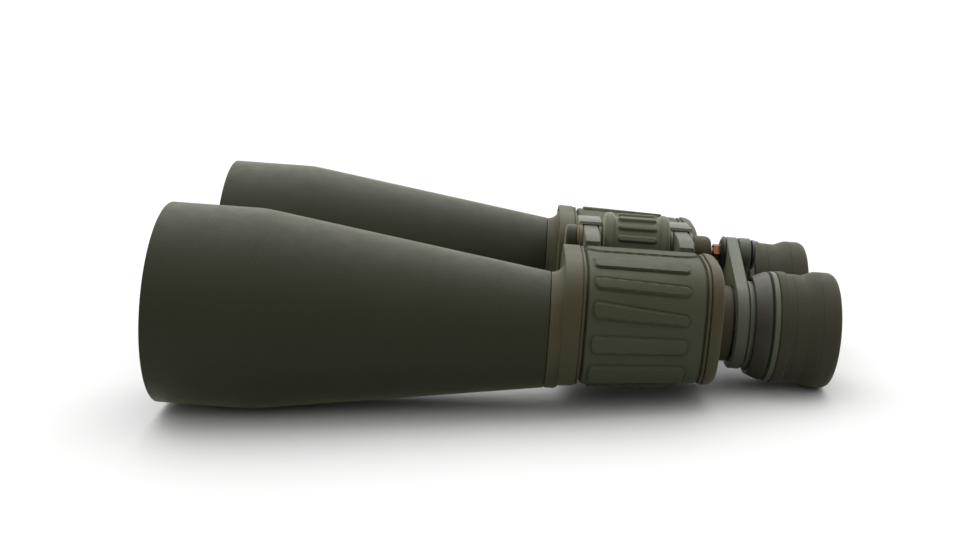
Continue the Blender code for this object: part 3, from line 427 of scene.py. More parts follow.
def rounded_box(along, aside, half_length, half_width, corner):
    """Signed distance to a rectangle with round corners, below zero inside it."""
    x = np.abs(along) - half_length + corner
    y = np.abs(aside) - half_width + corner
    outside = np.hypot(np.maximum(x, 0.0), np.maximum(y, 0.0))
    return outside + np.minimum(np.maximum(x, y), 0.0) - corner


# ------------------------------------------------- outsides of one telescope

SIDES = (("left", -1), ("right", 1))


def section_at(station, inset=0.0):
    """Centre and half sizes of the housing's outside at one station."""
    share = max(0.0, station - TAPER_START) / TAPER_LENGTH
    centre = SECTION_OUTWARDS - TAPER * share
    height = SECTION_HEIGHT + LIFT * share
    half_width = HALF_WIDTH - TAPER * share - inset
    return centre, height, half_width, HALF_HEIGHT - THINNING * share - inset


def section_point(side, station, inset, angle):
    """A point of the housing's outside; angle 0 is outwards and a quarter turn is up."""
    centre, height, half_width, half_height = section_at(station, inset)
    cosine, sine = math.cos(angle), math.sin(angle)
    reach = (abs(cosine / half_width) ** CORNER_POWER
             + abs(sine / half_height) ** CORNER_POWER) ** (-1 / CORNER_POWER)
    across = side * (centre + reach * cosine)
    return across, station, height + reach * sine


def even_angles(count, station=200.0):
    """Angles that space points evenly along the housing's outline."""
    fine = np.linspace(0.0, 2 * math.pi, 1441)
    points = np.array([section_point(1, station, 0.0, a) for a in fine])
    steps = np.hypot(np.diff(points[:, 0]), np.diff(points[:, 2]))
    along = np.concatenate([[0.0], np.cumsum(steps)])
    targets = np.linspace(0.0, along[-1], count, endpoint=False)
    return np.interp(targets, along, fine)


SKIN_ANGLES = even_angles(192)
FINE_ANGLES = even_angles(540)


def skin_rings(side, levels, angles=SKIN_ANGLES):
    """Rings of the housing's section from (station, inset) levels."""
    return [[section_point(side, u, inset, a) for a in angles] for u, inset in filleted(levels)]


def round_section(side, station, radius, angles=SKIN_ANGLES):
    """A circle round the objective's axis, matched to the section's angles."""
    ring = []
    for a in angles:
        target = section_point(1, station, 0.0, a)
        turn = math.atan2(target[2], target[0] - OBJECTIVE_SPACING / 2)
        across = side * (OBJECTIVE_SPACING / 2 + radius * math.cos(turn))
        ring.append((across, station, radius * math.sin(turn)))
    return ring


def blend_rings(first, second, share):
    """A ring part of the way from one ring to another."""
    return [tuple(np.array(p) * (1 - share) + np.array(q) * share)
            for p, q in zip(first, second)]


def objective_side(name, side):
    """The tube with its lens, retaining ring and cell at the front."""
    axis = (side * OBJECTIVE_SPACING / 2, 0.0)
    tube = turned(f"{name}_objective_tube", (
        (0.0, 40.2, 0.4), (0.0, 41.0, 0.5), (38.0, 40.95, 3.0), (43.0, 40.27, 3.0),
        (TUBE_REAR, 23.7, 0.35), (TUBE_REAR, 21.0), (60.0, 34.6), (41.0, 37.4, 1.0),
        (34.2, 38.8, 0.3), (13.2, 38.8, 0.3), (12.6, 39.3, 0.3), (0.0, 39.3, 0.4),
    ), axis, FINE)
    dress(tube, f"objective_tube_{name}")
    cell = turned(f"{name}_objective_cell", (
        (13.0, 38.5, 0.3), (34.2, 38.5, 0.3), (34.2, 34.3, 0.2), (31.5, 34.3, 0.2),
        (31.5, 36.6, 0.2), (13.0, 36.6, 0.3),
    ), axis, MEDIUM)
    dress(cell, f"objective_cell_{name}")
    ring = turned(f"{name}_objective_ring", (
        (17.3, 36.3, 0.2), (21.3, 36.3, 0.2), (21.3, 34.4, 0.3), (19.6, 34.4, 0.3),
        (17.3, 35.4, 0.3),
    ), axis, MEDIUM)
    dress(ring, f"objective_ring_{name}")
    crown = lens_piece(f"{name}_objective_crown", 21.8, 24.3, 2.6, -1.6, 36.3, axis)
    dress(crown, f"objective_crown_{name}")


NECK_LEVELS = 9
FILLET = 5.5


def neck_rings(side):
    """The round neck, then a hollow fillet that spreads onto the front band."""
    rings = [round_section(side, NECK_FRONT, 22.3), round_section(side, NECK_FRONT, 23.3),
             round_section(side, NECK_FRONT + 0.3, NECK_RADIUS)]
    face = TAPER_START + 1.6
    band = [section_point(side, face, 0.4, a) for a in SKIN_ANGLES]
    neck = round_section(side, face, NECK_RADIUS)
    gaps = [math.dist((p[0], p[2]), (q[0], q[2])) for p, q in zip(neck, band)]
    for share in np.linspace(0.0, 1.0, NECK_LEVELS):
        turn = share * math.pi / 2
        ring = []
        for start, end, gap in zip(neck, band, gaps):
            reach = min(FILLET, gap)
            outwards = reach * (1 - math.cos(turn)) / max(gap, 1e-6)
            depth = min(FILLET, 0.35 + gap) * (1 - math.sin(turn))
            across = start[0] + (end[0] - start[0]) * outwards
            height = start[2] + (end[2] - start[2]) * outwards
            ring.append((across, face - depth, height))
        rings.append(ring)
    rings += [blend_rings(rings[-1], band, share) for share in (0.35, 0.7)]
    return rings


# Depths under the housing's section: below the armour and on the hidden inside
UNDER_ARMOUR = 2.75
SKIN_INSIDE = 6.0


def housing_skin(name, side):
    """The casting's visible outside: neck, front band, step ring and grooves."""
    rings = neck_rings(side)
    under_armour = [(station, UNDER_ARMOUR) for station in np.linspace(174.0, 214.0, 6)]
    rings += skin_rings(side, (
        (161.2, 1.6, 0.0), (160.9, 0.4, 0.8), (161.6, 0.0, 0.9), (BAND_REAR, 0.0, 0.5),
        (BAND_REAR + 0.2, 0.9, 0.1), (168.45, 0.9, 0.1), (168.5, 0.3, 0.3),
        (169.4, 0.3, 0.3), (169.5, 2.6, 0.1), *under_armour, (218.7, 2.6, 0.1),
        (218.8, 0.5, 0.3), (HOUSING_REAR, 0.5, 0.3), (HOUSING_REAR, 3.0, 0.2),
    ))
    rings += skin_rings(side, (
        (HOUSING_REAR, SKIN_INSIDE), (190.0, SKIN_INSIDE), (TAPER_START + 6.0, SKIN_INSIDE),
    ))
    rings.append(round_section(side, NECK_FRONT + 4.0, 19.0))
    rings.append(round_section(side, NECK_FRONT, 21.0))
    piece = loft(f"{name}_housing_skin", rings)
    dress(piece, f"prism_housing_{name}")


PLATE_SCREWS = ((36.0, 25.0), (50.0, -14.6), (65.0, -7.5), (64.0, 18.5))
SCREW_RADIUS = 2.1
SCREW_POINTS = 48
SLOT_HALF_WIDTH = 0.28
SLOT_DEPTH = 0.7
PLATE_OPENING = (17.0, 16.4)


def rear_plate_skin(name, side):
    """The rear plate, with a soft rear edge, and its four screws."""
    rings = skin_rings(side, (
        (PLATE_FRONT, 6.0, 0.0), (PLATE_FRONT, 0.0, 0.4), (222.9, 0.0, 1.2),
        (PLATE_REAR, 1.2, 2.4), (PLATE_REAR, 6.0, 0.5),
    ))
    outer = rings[-1]
    centre = np.array([side * EYEPIECE_SPACING / 2, 0.0, EYEPIECE_HEIGHT])
    for radius in PLATE_OPENING:
        ring = []
        for p in outer:
            way = np.array(p) * (1, 0, 1) - centre
            way /= np.linalg.norm(way)
            spot = centre + way * radius
            ring.append((spot[0], PLATE_REAR, spot[2]))
        rings.append(ring)
    rings.append([(p[0], PLATE_FRONT, p[2]) for p in rings[-1]])
    piece = loft(f"{name}_rear_plate", rings)
    dress(piece, f"rear_plate_{name}")
    for index, (across, height) in enumerate(PLATE_SCREWS):
        screw_head(f"{name}_plate_screw_{index + 1}", (side * across, height), name)


def screw_head(label, centre, name):
    """A small countersunk screw with a cross recess, seated in the rear plate."""
    angles = np.linspace(0.0, 2 * math.pi, SCREW_POINTS, endpoint=False)
    radii = (SCREW_RADIUS, SCREW_RADIUS, 1.85, 1.3, 0.95, 0.6, 0.0)
    stations = [PLATE_REAR + rise for rise in (-1.0, 0.05, 0.25, 0.3, 0.32, 0.33, 0.33)]
    cross = np.minimum(np.abs(np.sin(angles)), np.abs(np.cos(angles)))
    rings = []
    for radius, station in zip(radii, stations):
        slot = np.clip((SLOT_HALF_WIDTH - cross * radius) / 0.12, 0.0, 1.0) * (radius < 1.4)
        ring = [(centre[0] + radius * math.cos(a), station - SLOT_DEPTH * s,
                 centre[1] + radius * math.sin(a)) for a, s in zip(angles, slot)]
        rings.append(ring)
    screw = loft(label, rings, closed=False)
    dress(screw, body=f"{name}_half", slot="black_anodised")


# ------------------------------------------------------------ rubber armour

# Each low rib: the angles of its lower and upper edge, at the front then the rear
RIBS = (
    (50.8, 70.0, 49.0, 66.0), (31.0, 39.3, 28.4, 35.4),
    (11.9, 22.0, 7.4, 14.3), (-11.7, -0.8, -13.8, -3.8), (-35.6, -21.4, -41.0, -24.7),
    (-99.0, -86.0, -100.0, -86.0), (-62.0, -48.0, -60.0, -47.0),
)
RIB_FRONT = 173.0
RIB_REAR = 211.4
RIB_HEIGHT = 1.05
RIB_MOAT = 0.3
PAD_FRONT = 169.2
PAD_REAR = 218.8
PAD_LOW = 128.5
PAD_HIGH = 96.5
PAD_SLANT = 0.16
PAD_GROOVE = 1.2
PAD_HEIGHT = 0.6
PAD_MARGIN = 1.1
PAD_CORNER = 7.5
MM_PER_DEGREE = 0.52


def rib_height(station, degrees):
    """How far the low ribs stand out at points of the armour."""
    share = np.clip((station - RIB_FRONT) / (RIB_REAR - RIB_FRONT), 0.0, 1.0)
    middle = (RIB_FRONT + RIB_REAR) / 2
    half_length = (RIB_REAR - RIB_FRONT) / 2
    height = np.zeros_like(station)
    moat = np.zeros_like(station)
    for low_front, high_front, low_rear, high_rear in RIBS:
        low = low_front + (low_rear - low_front) * share
        high = high_front + (high_rear - high_front) * share
        aside = (degrees - (low + high) / 2) * MM_PER_DEGREE
        half_width = (high - low) / 2 * MM_PER_DEGREE
        gap = rounded_box(station - middle, aside, half_length, half_width, 1.9)
        raised = RIB_HEIGHT * (1.0 - smooth_step(gap, -0.4, 0.15))
        height = np.maximum(height, raised)
        moat = np.maximum(moat, 1.0 - smooth_step(np.abs(gap - 0.45), 0.1, 0.5))
    return height - RIB_MOAT * moat * (height < 0.3)


def pad_gap(station, degrees):
    """How far points lie outside the outline of the soft pad, negative inside it."""
    middle = (PAD_FRONT + PAD_REAR) / 2
    centre = (PAD_LOW + PAD_HIGH) / 2
    half_width = (PAD_LOW - PAD_HIGH) / 2 * MM_PER_DEGREE
    half_length = (PAD_REAR - PAD_FRONT) / 2 - PAD_MARGIN
    slanted = degrees - centre + PAD_SLANT * (station - middle)
    return rounded_box(station - middle, slanted * MM_PER_DEGREE, half_length, half_width,
                       PAD_CORNER)


# The sleeve's depths under the housing's section, and its rounded ends
ARMOUR_INSIDE = 2.7
ARMOUR_OUTSIDE = 0.6
ARMOUR_ROUNDING = 1.1
ARMOUR_END = 1.2


def armour_skin(name, side):
    """The rubber sleeve with its ribs and its outlined pad."""
    stations = np.concatenate([
        np.linspace(ARMOUR_FRONT, ARMOUR_FRONT + ARMOUR_END, 6)[:-1],
        np.linspace(ARMOUR_FRONT + ARMOUR_END, ARMOUR_REAR - ARMOUR_END, 104),
        np.linspace(ARMOUR_REAR - ARMOUR_END, ARMOUR_REAR, 6)[1:],
    ])
    angles = FINE_ANGLES
    degrees = np.degrees(angles)
    wrapped = np.where(degrees > 180.0, degrees - 360.0, degrees)
    rings = [[section_point(side, ARMOUR_FRONT, ARMOUR_INSIDE, a) for a in angles]]
    for station in stations:
        edge = min(station - ARMOUR_FRONT, ARMOUR_REAR - station)
        run = max(0.0, ARMOUR_ROUNDING - edge)
        soft = ARMOUR_ROUNDING - math.sqrt(max(0.0, ARMOUR_ROUNDING ** 2 - run ** 2))
        here = np.full(len(angles), station)
        ribs = rib_height(here, wrapped)
        gap = pad_gap(here, wrapped)
        groove = PAD_GROOVE * (1.0 - smooth_step(np.abs(gap), 0.25, 0.7))
        inside = 1.0 - smooth_step(gap, -0.6, 0.2)
        outside = ribs * (1.0 - inside) + PAD_HEIGHT * inside - groove
        rings.append([
            section_point(side, station, ARMOUR_OUTSIDE + soft - bulge, a)
            for a, bulge in zip(angles, outside)
        ])
    rings.append([section_point(side, ARMOUR_REAR, ARMOUR_INSIDE, a) for a in angles])
    piece = loft(f"{name}_rubber_armour", rings, sharp=50.0)
    dress(piece, f"rubber_armour_{name}")


# ---------------------------------------------------- centre hinge and focus

WHEEL_RIBS = 15
WHEEL_POINTS = 450
DRUM_RADIUS = 12.9
RIM_RISE = 1.6
WHEEL_RIB_RISE = 1.35
WHEEL_RIB_RADIUS = 13.5
WHEEL_RIB_HALF_LENGTH = 8.6
WHEEL_RIB_HALF_WIDTH = 1.55
WHEEL_RIB_CORNER = 1.5


def focus_wheel():
    """The ribbed wheel: round rims, a sunk drum and ribs with round ends."""
    across_rim = [(WHEEL_FRONT, 3.6), (WHEEL_FRONT, 12.6), (WHEEL_FRONT + 0.35, 13.6),
                  (WHEEL_FRONT + 1.1, 14.3), (WHEEL_FRONT + 2.2, 14.5)]
    stations = np.linspace(WHEEL_FRONT + 2.8, WHEEL_REAR - 2.8, 84)
    angles = np.linspace(0.0, 2 * math.pi, WHEEL_POINTS, endpoint=False)
    pitch = 2 * math.pi / WHEEL_RIBS
    aside = (np.mod(angles, pitch) - pitch / 2) * WHEEL_RIB_RADIUS
    rings = [(u, np.full(len(angles), r)) for u, r in across_rim]
    middle = (WHEEL_FRONT + WHEEL_REAR) / 2
    for station in stations:
        from_rim = min(station - WHEEL_FRONT, WHEEL_REAR - station)
        drum = DRUM_RADIUS + RIM_RISE * (1.0 - smooth_step(from_rim, 3.0, 5.2))
        here = np.full(len(angles), station - middle)
        gap = rounded_box(here, aside, WHEEL_RIB_HALF_LENGTH, WHEEL_RIB_HALF_WIDTH,
                          WHEEL_RIB_CORNER)
        ribs = WHEEL_RIB_RISE * (1.0 - smooth_step(gap, -0.75, 0.3))
        rings.append((station, np.maximum(drum, DRUM_RADIUS + ribs)))
    rings += [(WHEEL_FRONT + WHEEL_REAR - u, np.full(len(angles), r))
              for u, r in reversed(across_rim)]
    points = [
        [(r * math.cos(a), u, HINGE_HEIGHT + r * math.sin(a)) for a, r in zip(angles, radii)]
        for u, radii in rings
    ]
    dress(loft("focus_wheel_ribbed", points, sharp=45.0), "focus_wheel")


def hinge_caps():
    """The cap cylinder behind the wheel, the tripod-socket cap and the washer."""
    cap = turned("hinge_rear_cap_turned", (
        (219.9, 3.4), (219.9, 6.8, 0.3), (226.2, 6.8, 1.6), (227.9, 5.2, 0.8), (227.9, 3.4),
    ), HINGE, SMALL)
    dress(cap, "hinge_rear_cap")
    front = turned("tripod_socket_cap_turned", (
        (162.8, 0.0), (162.8, 6.2, 1.2), (163.6, 7.8, 0.9), (167.6, 7.8, 0.4), (167.6, 3.1),
        (171.0, 3.1, 0.3), (171.0, 0.0),
    ), HINGE, SMALL, closed=False)
    dress(front, "tripod_socket_cap")
    washer = turned("hinge_washer_turned", (
        (167.9, 4.9), (167.9, 7.4, 0.15), (168.4, 7.4, 0.15), (168.4, 4.9),
    ), HINGE, SMALL)
    dress(washer, "hinge_washer")


SPINDLE_POINTS = 48
NUT_ACROSS = 3.4
NUT_BEVEL = 3.3


def spindle_and_nut():
    """The focus spindle and the bevelled hexagon nut on it."""
    rod = turned("spindle_rod", (
        (207.0, 0.0), (207.0, 2.0), (237.5, 2.0, 0.3), (237.5, 0.0),
    ), HINGE, SPINDLE_POINTS, closed=False)
    dress(rod, "focus_spindle")
    angles = np.linspace(0.0, 2 * math.pi, SPINDLE_POINTS, endpoint=False)
    hexagon = NUT_ACROSS / np.cos(np.mod(angles, math.pi / 3) - math.pi / 6)
    levels = ((229.0, 2.05, False), (229.0, NUT_BEVEL, False), (229.35, 3.9, True),
              (231.65, 3.9, True), (232.0, NUT_BEVEL, False), (232.0, 2.05, False))
    rings = []
    for station, radius, flat in levels:
        reach = np.minimum(hexagon, radius) if flat else np.full(SPINDLE_POINTS, radius)
        rings.append([(r * math.cos(a), station, HINGE_HEIGHT + r * math.sin(a))
                      for a, r in zip(angles, reach)])
    dress(loft("spindle_nut_hex", rings), "spindle_nut")


def bridge_hub():
    """The hub that carries the bridge arms, and its slotted end screw."""
    hub = turned("bridge_hub_turned", (
        (232.3, 2.6), (232.3, 5.6, 0.8), (233.2, 7.4, 0.7), (234.0, 7.4, 0.2),
        (234.0, 4.5), (245.6, 4.5, 0.2), (245.6, 2.6),
    ), HINGE, SMALL)
    dress(hub, "bridge_hub")
    screw = turned("bridge_screw_turned", (
        (245.9, 0.0), (245.9, 6.6, 0.3), (247.3, 6.6, 0.6), (247.7, 5.4, 0.3),
        (247.7, 2.2, 0.2), (246.6, 1.9, 0.2), (246.6, 0.0),
    ), HINGE, SMALL, closed=False)
    dress(screw, "bridge_screw")


def slab(name, outline, front, rear, bevel, holes=()):
    """A flat cast piece with rounded edges, from an outline across the axes."""
    curve = bpy.data.curves.new(name, "CURVE")
    curve.dimensions = "2D"
    curve.fill_mode = "BOTH"
    for loop in (outline, *holes):
        spline = curve.splines.new("POLY")
        spline.points.add(len(loop) - 1)
        spline.use_cyclic_u = True
        for point, (x, y) in zip(spline.points, loop):
            point.co = (x, y, 0.0, 1.0)
    curve.extrude = (rear - front) / 2 - bevel
    curve.bevel_depth = bevel
    curve.offset = -bevel
    curve.bevel_resolution = 4
    shape = bpy.data.objects.new(name, curve)
    bpy.context.scene.collection.objects.link(shape)
    bpy.context.view_layer.update()
    mesh = bpy.data.meshes.new_from_object(
        shape.evaluated_get(bpy.context.evaluated_depsgraph_get()))
    points = np.array([tuple(v.co) for v in mesh.vertices])
    faces = [tuple(face.vertices) for face in mesh.polygons]
    bpy.data.objects.remove(shape)
    middle = (front + rear) / 2
    placed = np.stack([points[:, 0], -middle - points[:, 2], points[:, 1]], axis=1)
    return new_piece(name, placed, faces, sharp=40.0)


def arc(centre, radius, start, end, count):
    """Points along a circle between two angles in degrees."""
    return [(centre[0] + radius * math.cos(a), centre[1] + radius * math.sin(a))
            for a in np.radians(np.linspace(start, end, count))]


HOOD_RADIUS = 9.6
KNUCKLE_RADIUS = 8.0
ARM_REACH = 25.0
ARM_EDGE = 0.9
ARM_LOW = -7.0
ARM_RANGES = {"front": (168.6, 179.2), "rear": (208.8, 219.6)}
FORK_WALL = 1.6
FORK_ROOM = 0.3
FORK_RADIUS = 8.4
INNER = 0.05


def arm_loop(side, hood):
    """A hinge arm seen from behind: its knuckle, its bar and perhaps a hood."""
    loop = [(ARM_REACH, 5.8), (ARM_REACH - 3.5, KNUCKLE_RADIUS + (0.6 if hood else 0.0))]
    if hood:
        loop.append((KNUCKLE_RADIUS, HOOD_RADIUS - 0.2))
        loop += arc((0.0, 0.0), HOOD_RADIUS, 66.0, 84.0, 5)
    loop += arc((0.0, 0.0), KNUCKLE_RADIUS, 90.0, 310.0, 40)
    loop += [(KNUCKLE_RADIUS + 4.0, ARM_LOW), (ARM_REACH, ARM_LOW)]
    return [(side * x, HINGE_HEIGHT + y) for x, y in loop]


def cylinder_solid(label, profile, centre):
    """A closed turned solid for cutting with, which is removed after use."""
    return turned(label, profile, centre, SMALL)


def cut(piece, cutter):
    """Take the cutter's volume away from the piece and remove the cutter."""
    modifier = piece.modifiers.new("cut", "BOOLEAN")
    modifier.operation = "DIFFERENCE"
    modifier.solver = "EXACT"
    modifier.object = cutter
    bpy.context.view_layer.update()
    result = bpy.data.meshes.new_from_object(
        piece.evaluated_get(bpy.context.evaluated_depsgraph_get()))
    piece.modifiers.clear()
    piece.data = result
    bpy.data.objects.remove(cutter)
    piece.data.set_sharp_from_angle(angle=math.radians(40.0))


def hinge_arms():
    """Two arms on each half; the right ones are forks round the left knuckles."""
    inset = FORK_WALL + FORK_ROOM
    for label, (front, rear) in ARM_RANGES.items():
        left = slab(f"left_{label}_arm", arm_loop(-1, False), front + inset, rear - inset,
                    ARM_EDGE)
        dress(left, f"{label}_arm_left")
        right = slab(f"right_{label}_arm", arm_loop(1, True), front, rear, ARM_EDGE)
        cut(right, cylinder_solid("fork_slot", (
            (front + FORK_WALL, INNER), (front + FORK_WALL, FORK_RADIUS, 0.3),
            (rear - FORK_WALL, FORK_RADIUS, 0.3), (rear - FORK_WALL, INNER),
        ), HINGE))
        dress(right, f"{label}_arm_right")


HUB_END_RADIUS = 7.2
EYEPIECE_END_RADIUS = 19.0
HUB_HOLE = 4.8
BARREL_HOLE = 15.7
BRIDGE_EDGE = 0.7


def bridge_loop(side):
    """The bridge arm's outline round its hub end and its eyepiece end."""
    across, height = EYEPIECE_SPACING / 2, EYEPIECE_HEIGHT
    run = math.hypot(across, height - HINGE_HEIGHT)
    slant = math.degrees(math.atan2(height - HINGE_HEIGHT, across))
    spread = math.degrees(math.acos((HUB_END_RADIUS - EYEPIECE_END_RADIUS) / run))
    loop = arc((across, height), EYEPIECE_END_RADIUS, slant - spread, slant + spread, 72)
    loop += arc(HINGE, HUB_END_RADIUS, slant + spread, slant + 360.0 - spread, 36)
    return [(side * x, y) for x, y in loop]


def bridge_arms():
    """The arms that carry the eyepieces; the right one is stepped for its ring."""
    for name, side, front in (("left", -1, LEFT_ARM_FRONT), ("right", 1, RIGHT_ARM_FRONT)):
        centre = (side * EYEPIECE_SPACING / 2, EYEPIECE_HEIGHT)
        hole = arc(centre, BARREL_HOLE, 0.0, 360.0, 97)[:-1]
        hub_hole = arc(HINGE, HUB_HOLE, 0.0, 360.0, 49)[:-1]
        arm = slab(f"{name}_bridge_arm", bridge_loop(side), front, front + BRIDGE_THICKNESS,
                   BRIDGE_EDGE, holes=(hole, hub_hole))
        if side > 0:
            cut(arm, cylinder_solid("ring_room", (
                (241.5, 19.0), (241.5, 23.8, 0.3), (252.0, 23.8), (252.0, INNER),
                (243.5, INNER), (243.5, 19.0),
            ), centre))
        dress(arm, f"bridge_arm_{name}")


FLANGE_RANGE = {"left": (240.0, 243.5), "right": (234.3, 239.6)}


def guide_and_barrel(name, side):
    """The fixed guide tube, the barrel that slides in it and the flange ring."""
    axis = (side * EYEPIECE_SPACING / 2, EYEPIECE_HEIGHT)
    guide = turned(f"{name}_guide_tube", (
        (221.0, 14.2), (221.0, 16.1), (226.0, 16.1), (229.0, 16.1, 0.4), (233.6, 16.1, 0.6),
        (233.6, 14.2, 0.3),
    ), axis, MEDIUM)
    dress(guide, f"guide_tube_{name}")
    barrel = turned(f"{name}_eyepiece_barrel", (
        (216.4, 12.6), (216.4, 13.9, 0.2), (234.0, 13.9), (234.0, 15.5, 0.2),
        (CONE_REAR, 15.5, 0.2), (CONE_REAR, 12.6),
    ), axis, MEDIUM)
    dress(barrel, f"eyepiece_barrel_{name}")
    front, rear = FLANGE_RANGE[name]
    flange = turned(f"{name}_flange_ring", (
        (front, 15.8), (front, 18.7, 0.3), (rear, 18.7, 0.3), (rear, 15.8),
    ), axis, MEDIUM)
    dress(flange, f"flange_ring_{name}")


def cone_ring(side):
    """The flaring ring behind the bridge; the right one is the dioptre ring."""
    axis = (side * EYEPIECE_SPACING / 2, EYEPIECE_HEIGHT)
    if side > 0:
        dress(dioptre_ring_piece(axis), "dioptre_ring")
        return
    ring = turned("left_cone_ring", (
        (CONE_FRONT, 19.4), (CONE_FRONT, 20.8, 0.4), (247.2, 22.9, 0.8), (CONE_REAR, 23.1, 0.4),
        (CONE_REAR, 15.9), (244.0, 15.9), (244.0, 19.4),
    ), axis, MEDIUM)
    dress(ring, "cone_ring_left")


def dioptre_ring_piece(axis):
    """The dioptre ring: the same cone with fine grip notches round its rear."""
    count = 360
    angles = np.linspace(0.0, 2 * math.pi, count, endpoint=False)
    notch = 0.22 * (1.0 - smooth_step(np.abs(np.mod(angles * 60 / math.pi / 2, 1.0) - 0.5),
                                      0.12, 0.3))
    profile = filleted((
        (CONE_FRONT, 19.4), (CONE_FRONT, 20.8, 0.4), (244.2, 21.75, 0.2), (244.5, 22.0, 0.2),
        (247.6, 22.95, 0.5), (CONE_REAR, 23.0, 0.4), (CONE_REAR, 15.9), (244.0, 15.9),
        (244.0, 19.4),
    ))
    rings = []
    for station, radius in profile:
        depth = notch if radius > 21.8 and 244.4 < station < 248.0 else np.zeros(count)
        reach = radius - depth
        rings.append([(axis[0] + r * math.cos(a), station, axis[1] + r * math.sin(a))
                      for r, a in zip(reach, angles)])
    return loft("dioptre_ring_notched", rings)


def eyecup_and_ocular(name, side):
    """The ocular cell with its ring and lens, and the flared eyecup round it."""
    axis = (side * EYEPIECE_SPACING / 2, EYEPIECE_HEIGHT)
    cell = turned(f"{name}_ocular_cell", (
        (244.2, 11.6), (244.2, 12.3), (OCULAR_FRONT, 12.3), (OCULAR_FRONT, 15.5),
        (262.9, 15.5, 0.3), (262.9, 13.3, 0.3), (254.5, 13.3), (254.0, 11.6),
    ), axis, MEDIUM)
    dress(cell, f"ocular_cell_{name}")
    ring = turned(f"{name}_ocular_ring", (
        (OCULAR_FRONT, 15.8), (OCULAR_FRONT, 23.4, 0.35), (251.6, 23.4, 0.35), (251.6, 15.8),
    ), axis, MEDIUM)
    dress(ring, f"ocular_ring_{name}")
    cup = turned(f"{name}_eyecup", (
        (CUP_FRONT, 15.8), (CUP_FRONT, 23.7, 0.6), (255.6, 23.7, 0.3), (256.1, 23.0, 0.2),
        (258.2, 22.95, 0.1), (258.35, 22.75, 0.1), (258.6, 22.95, 0.1), (263.4, 22.75, 0.5),
        (267.6, 24.4, 0.4), (268.6, 24.6, 0.2), (268.9, 24.35, 0.1), (269.2, 24.6, 0.2),
        (274.4, 24.6, 0.8), (276.3, 23.7, 1.0), (CUP_REAR, 22.4, 0.5), (CUP_REAR, 21.4, 0.4),
        (275.8, 20.9, 0.8),
        (265.0, 20.4, 2.0), (263.4, 19.5, 1.0), (263.4, 15.8, 0.2),
    ), axis, FINE)
    dress(cup, f"eyecup_{name}")
    lens = lens_piece(f"{name}_eye_lens", 256.5, 260.0, 1.0, 0.8, 13.0, axis)
    dress(lens, f"eye_lens_{name}")
    rim = turned(f"{name}_eye_lens_ring", (
        (261.0, 11.7, 0.2), (261.0, 13.0, 0.1), (262.7, 13.0, 0.2), (262.7, 12.4, 0.2),
    ), axis, SMALL)
    dress(rim, f"eye_lens_ring_{name}")


for side_name, side_sign in SIDES:
    objective_side(side_name, side_sign)
    housing_skin(side_name, side_sign)
    rear_plate_skin(side_name, side_sign)
    armour_skin(side_name, side_sign)
    guide_and_barrel(side_name, side_sign)
    cone_ring(side_sign)
    eyecup_and_ocular(side_name, side_sign)
focus_wheel()
hinge_caps()
spindle_and_nut()
bridge_hub()
hinge_arms()
bridge_arms()


# -------------------------------------------- hidden parts kept from the CAD

def carry_over():
    """Give every CAD node that stays visible its procedural material."""
    for thing in list(bpy.context.scene.objects):
        node = thing.name
        if thing.type != "MESH" or node not in BODY_OF_NODE:
            continue
        for place in thing.material_slots:
            place.link = "OBJECT"
            place.material = FINISHES[SLOT_OF_NODE[node]]


carry_over()


# ------------------------------------------------------- floor, light, camera

FLOOR_SIZE = 60.0
FLOOR_GREY = 0.5
SUN_STRENGTH = 1.9
SUN_ANGLE = 70.0
SUN_TILT = 18.0
FRONT_GLOW = 0.36
DOME_GLOW = 1.3
BACK_GLOW = 1.0
FOCAL_LENGTH = 48.42
SENSOR_WIDTH = 36.0
CAMERA_PITCH = 12.81
CAMERA_YAW = -0.86
CAMERA_ROLL = 3.99
CAMERA_STATION = 138.61
CAMERA_ACROSS = -580.5
CAMERA_HEIGHT = 138.9


def paper(name):
    """The plain pale sweep that the instrument lies on."""
    nodes = Nodes(name)
    light = (FLOOR_GREY, FLOOR_GREY, FLOOR_GREY * 0.995, 1.0)
    dark = (FLOOR_GREY * 0.985, FLOOR_GREY * 0.985, FLOOR_GREY * 0.98, 1.0)
    nodes.link(nodes.mix(nodes.noise(40.0), light, dark), nodes.shader.inputs["Base Color"])
    nodes.shader.inputs["Roughness"].default_value = 0.9
    nodes.shader.inputs["Specular IOR Level"].default_value = 0.1
    nodes.link(nodes.bump(nodes.noise(900.0), 0.00005, 0.2), nodes.shader.inputs["Normal"])
    return nodes.material


def glow(tree, direction, start, full, strength):
    """A brightness that rises smoothly along one direction of the surroundings."""
    node = tree.nodes.new("ShaderNodeMapRange")
    node.interpolation_type = "SMOOTHSTEP"
    node.inputs["From Min"].default_value = start
    node.inputs["From Max"].default_value = full
    node.inputs["To Max"].default_value = strength
    tree.links.new(direction, node.inputs["Value"])
    return node.outputs["Result"]


def floor_and_sun():
    """A plain floor and a wide soft light overhead."""
    bpy.ops.mesh.primitive_plane_add(size=FLOOR_SIZE, location=(0.0, 0.0, 0.0))
    floor = bpy.context.active_object
    floor.name = "floor"
    floor.data.materials.append(paper("plain_paper"))
    data = bpy.data.lights.new("overhead", "SUN")
    data.energy = SUN_STRENGTH
    data.angle = math.radians(SUN_ANGLE)
    sun = bpy.data.objects.new("overhead", data)
    sun.rotation_euler = (0.0, math.radians(SUN_TILT), 0.0)
    bpy.context.scene.collection.objects.link(sun)


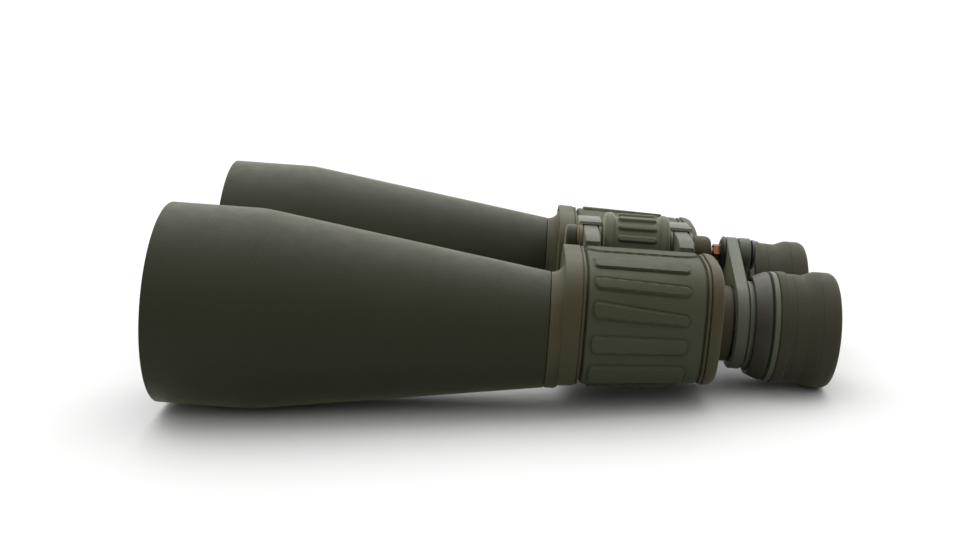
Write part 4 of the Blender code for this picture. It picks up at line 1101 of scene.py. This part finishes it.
def surroundings():
    """A pale surrounding, brighter overhead and behind the instrument."""
    world = bpy.data.worlds.new("surrounding")
    world.use_nodes = True
    world.node_tree.nodes["Background"].inputs["Color"].default_value = (1.0, 1.0, 1.0, 1.0)
    tree = world.node_tree
    place = tree.nodes.new("ShaderNodeTexCoord").outputs["Generated"]
    parts = tree.nodes.new("ShaderNodeSeparateXYZ")
    tree.links.new(place, parts.inputs["Vector"])
    dome = glow(tree, parts.outputs["Z"], 0.15, 0.75, DOME_GLOW)
    back = glow(tree, parts.outputs["X"], -0.1, 0.8, BACK_GLOW)
    both = tree.nodes.new("ShaderNodeMath")
    total = tree.nodes.new("ShaderNodeMath")
    tree.links.new(dome, both.inputs[0])
    tree.links.new(back, both.inputs[1])
    tree.links.new(both.outputs["Value"], total.inputs[0])
    total.inputs[1].default_value = FRONT_GLOW
    tree.links.new(total.outputs["Value"], tree.nodes["Background"].inputs["Strength"])
    bpy.context.scene.world = world


def photo_camera():
    """The camera at the photo's angle, placed in the optical frame."""
    pitch, yaw, roll = (math.radians(a) for a in (CAMERA_PITCH, CAMERA_YAW, CAMERA_ROLL))
    forward = Vector((math.cos(yaw) * math.cos(pitch), -math.sin(yaw) * math.cos(pitch),
                      -math.sin(pitch)))
    level = Vector((-math.sin(yaw), -math.cos(yaw), 0.0))
    up = level.cross(forward)
    right = level * math.cos(roll) + up * math.sin(roll)
    top = up * math.cos(roll) - level * math.sin(roll)
    place = Vector((CAMERA_ACROSS, -CAMERA_STATION, CAMERA_HEIGHT)) * MM
    data = bpy.data.cameras.new("photo_camera")
    data.sensor_width = SENSOR_WIDTH
    data.lens = FOCAL_LENGTH
    data.clip_start = 0.01
    data.clip_end = 200.0
    camera = bpy.data.objects.new("photo_camera", data)
    turn = Matrix((right, top, -forward)).transposed().to_4x4()
    camera.matrix_world = OPTICS @ Matrix.Translation(place) @ turn
    bpy.context.scene.collection.objects.link(camera)
    bpy.context.scene.camera = camera


floor_and_sun()
surroundings()
photo_camera()
bpy.context.scene.view_settings.view_transform = "Standard"
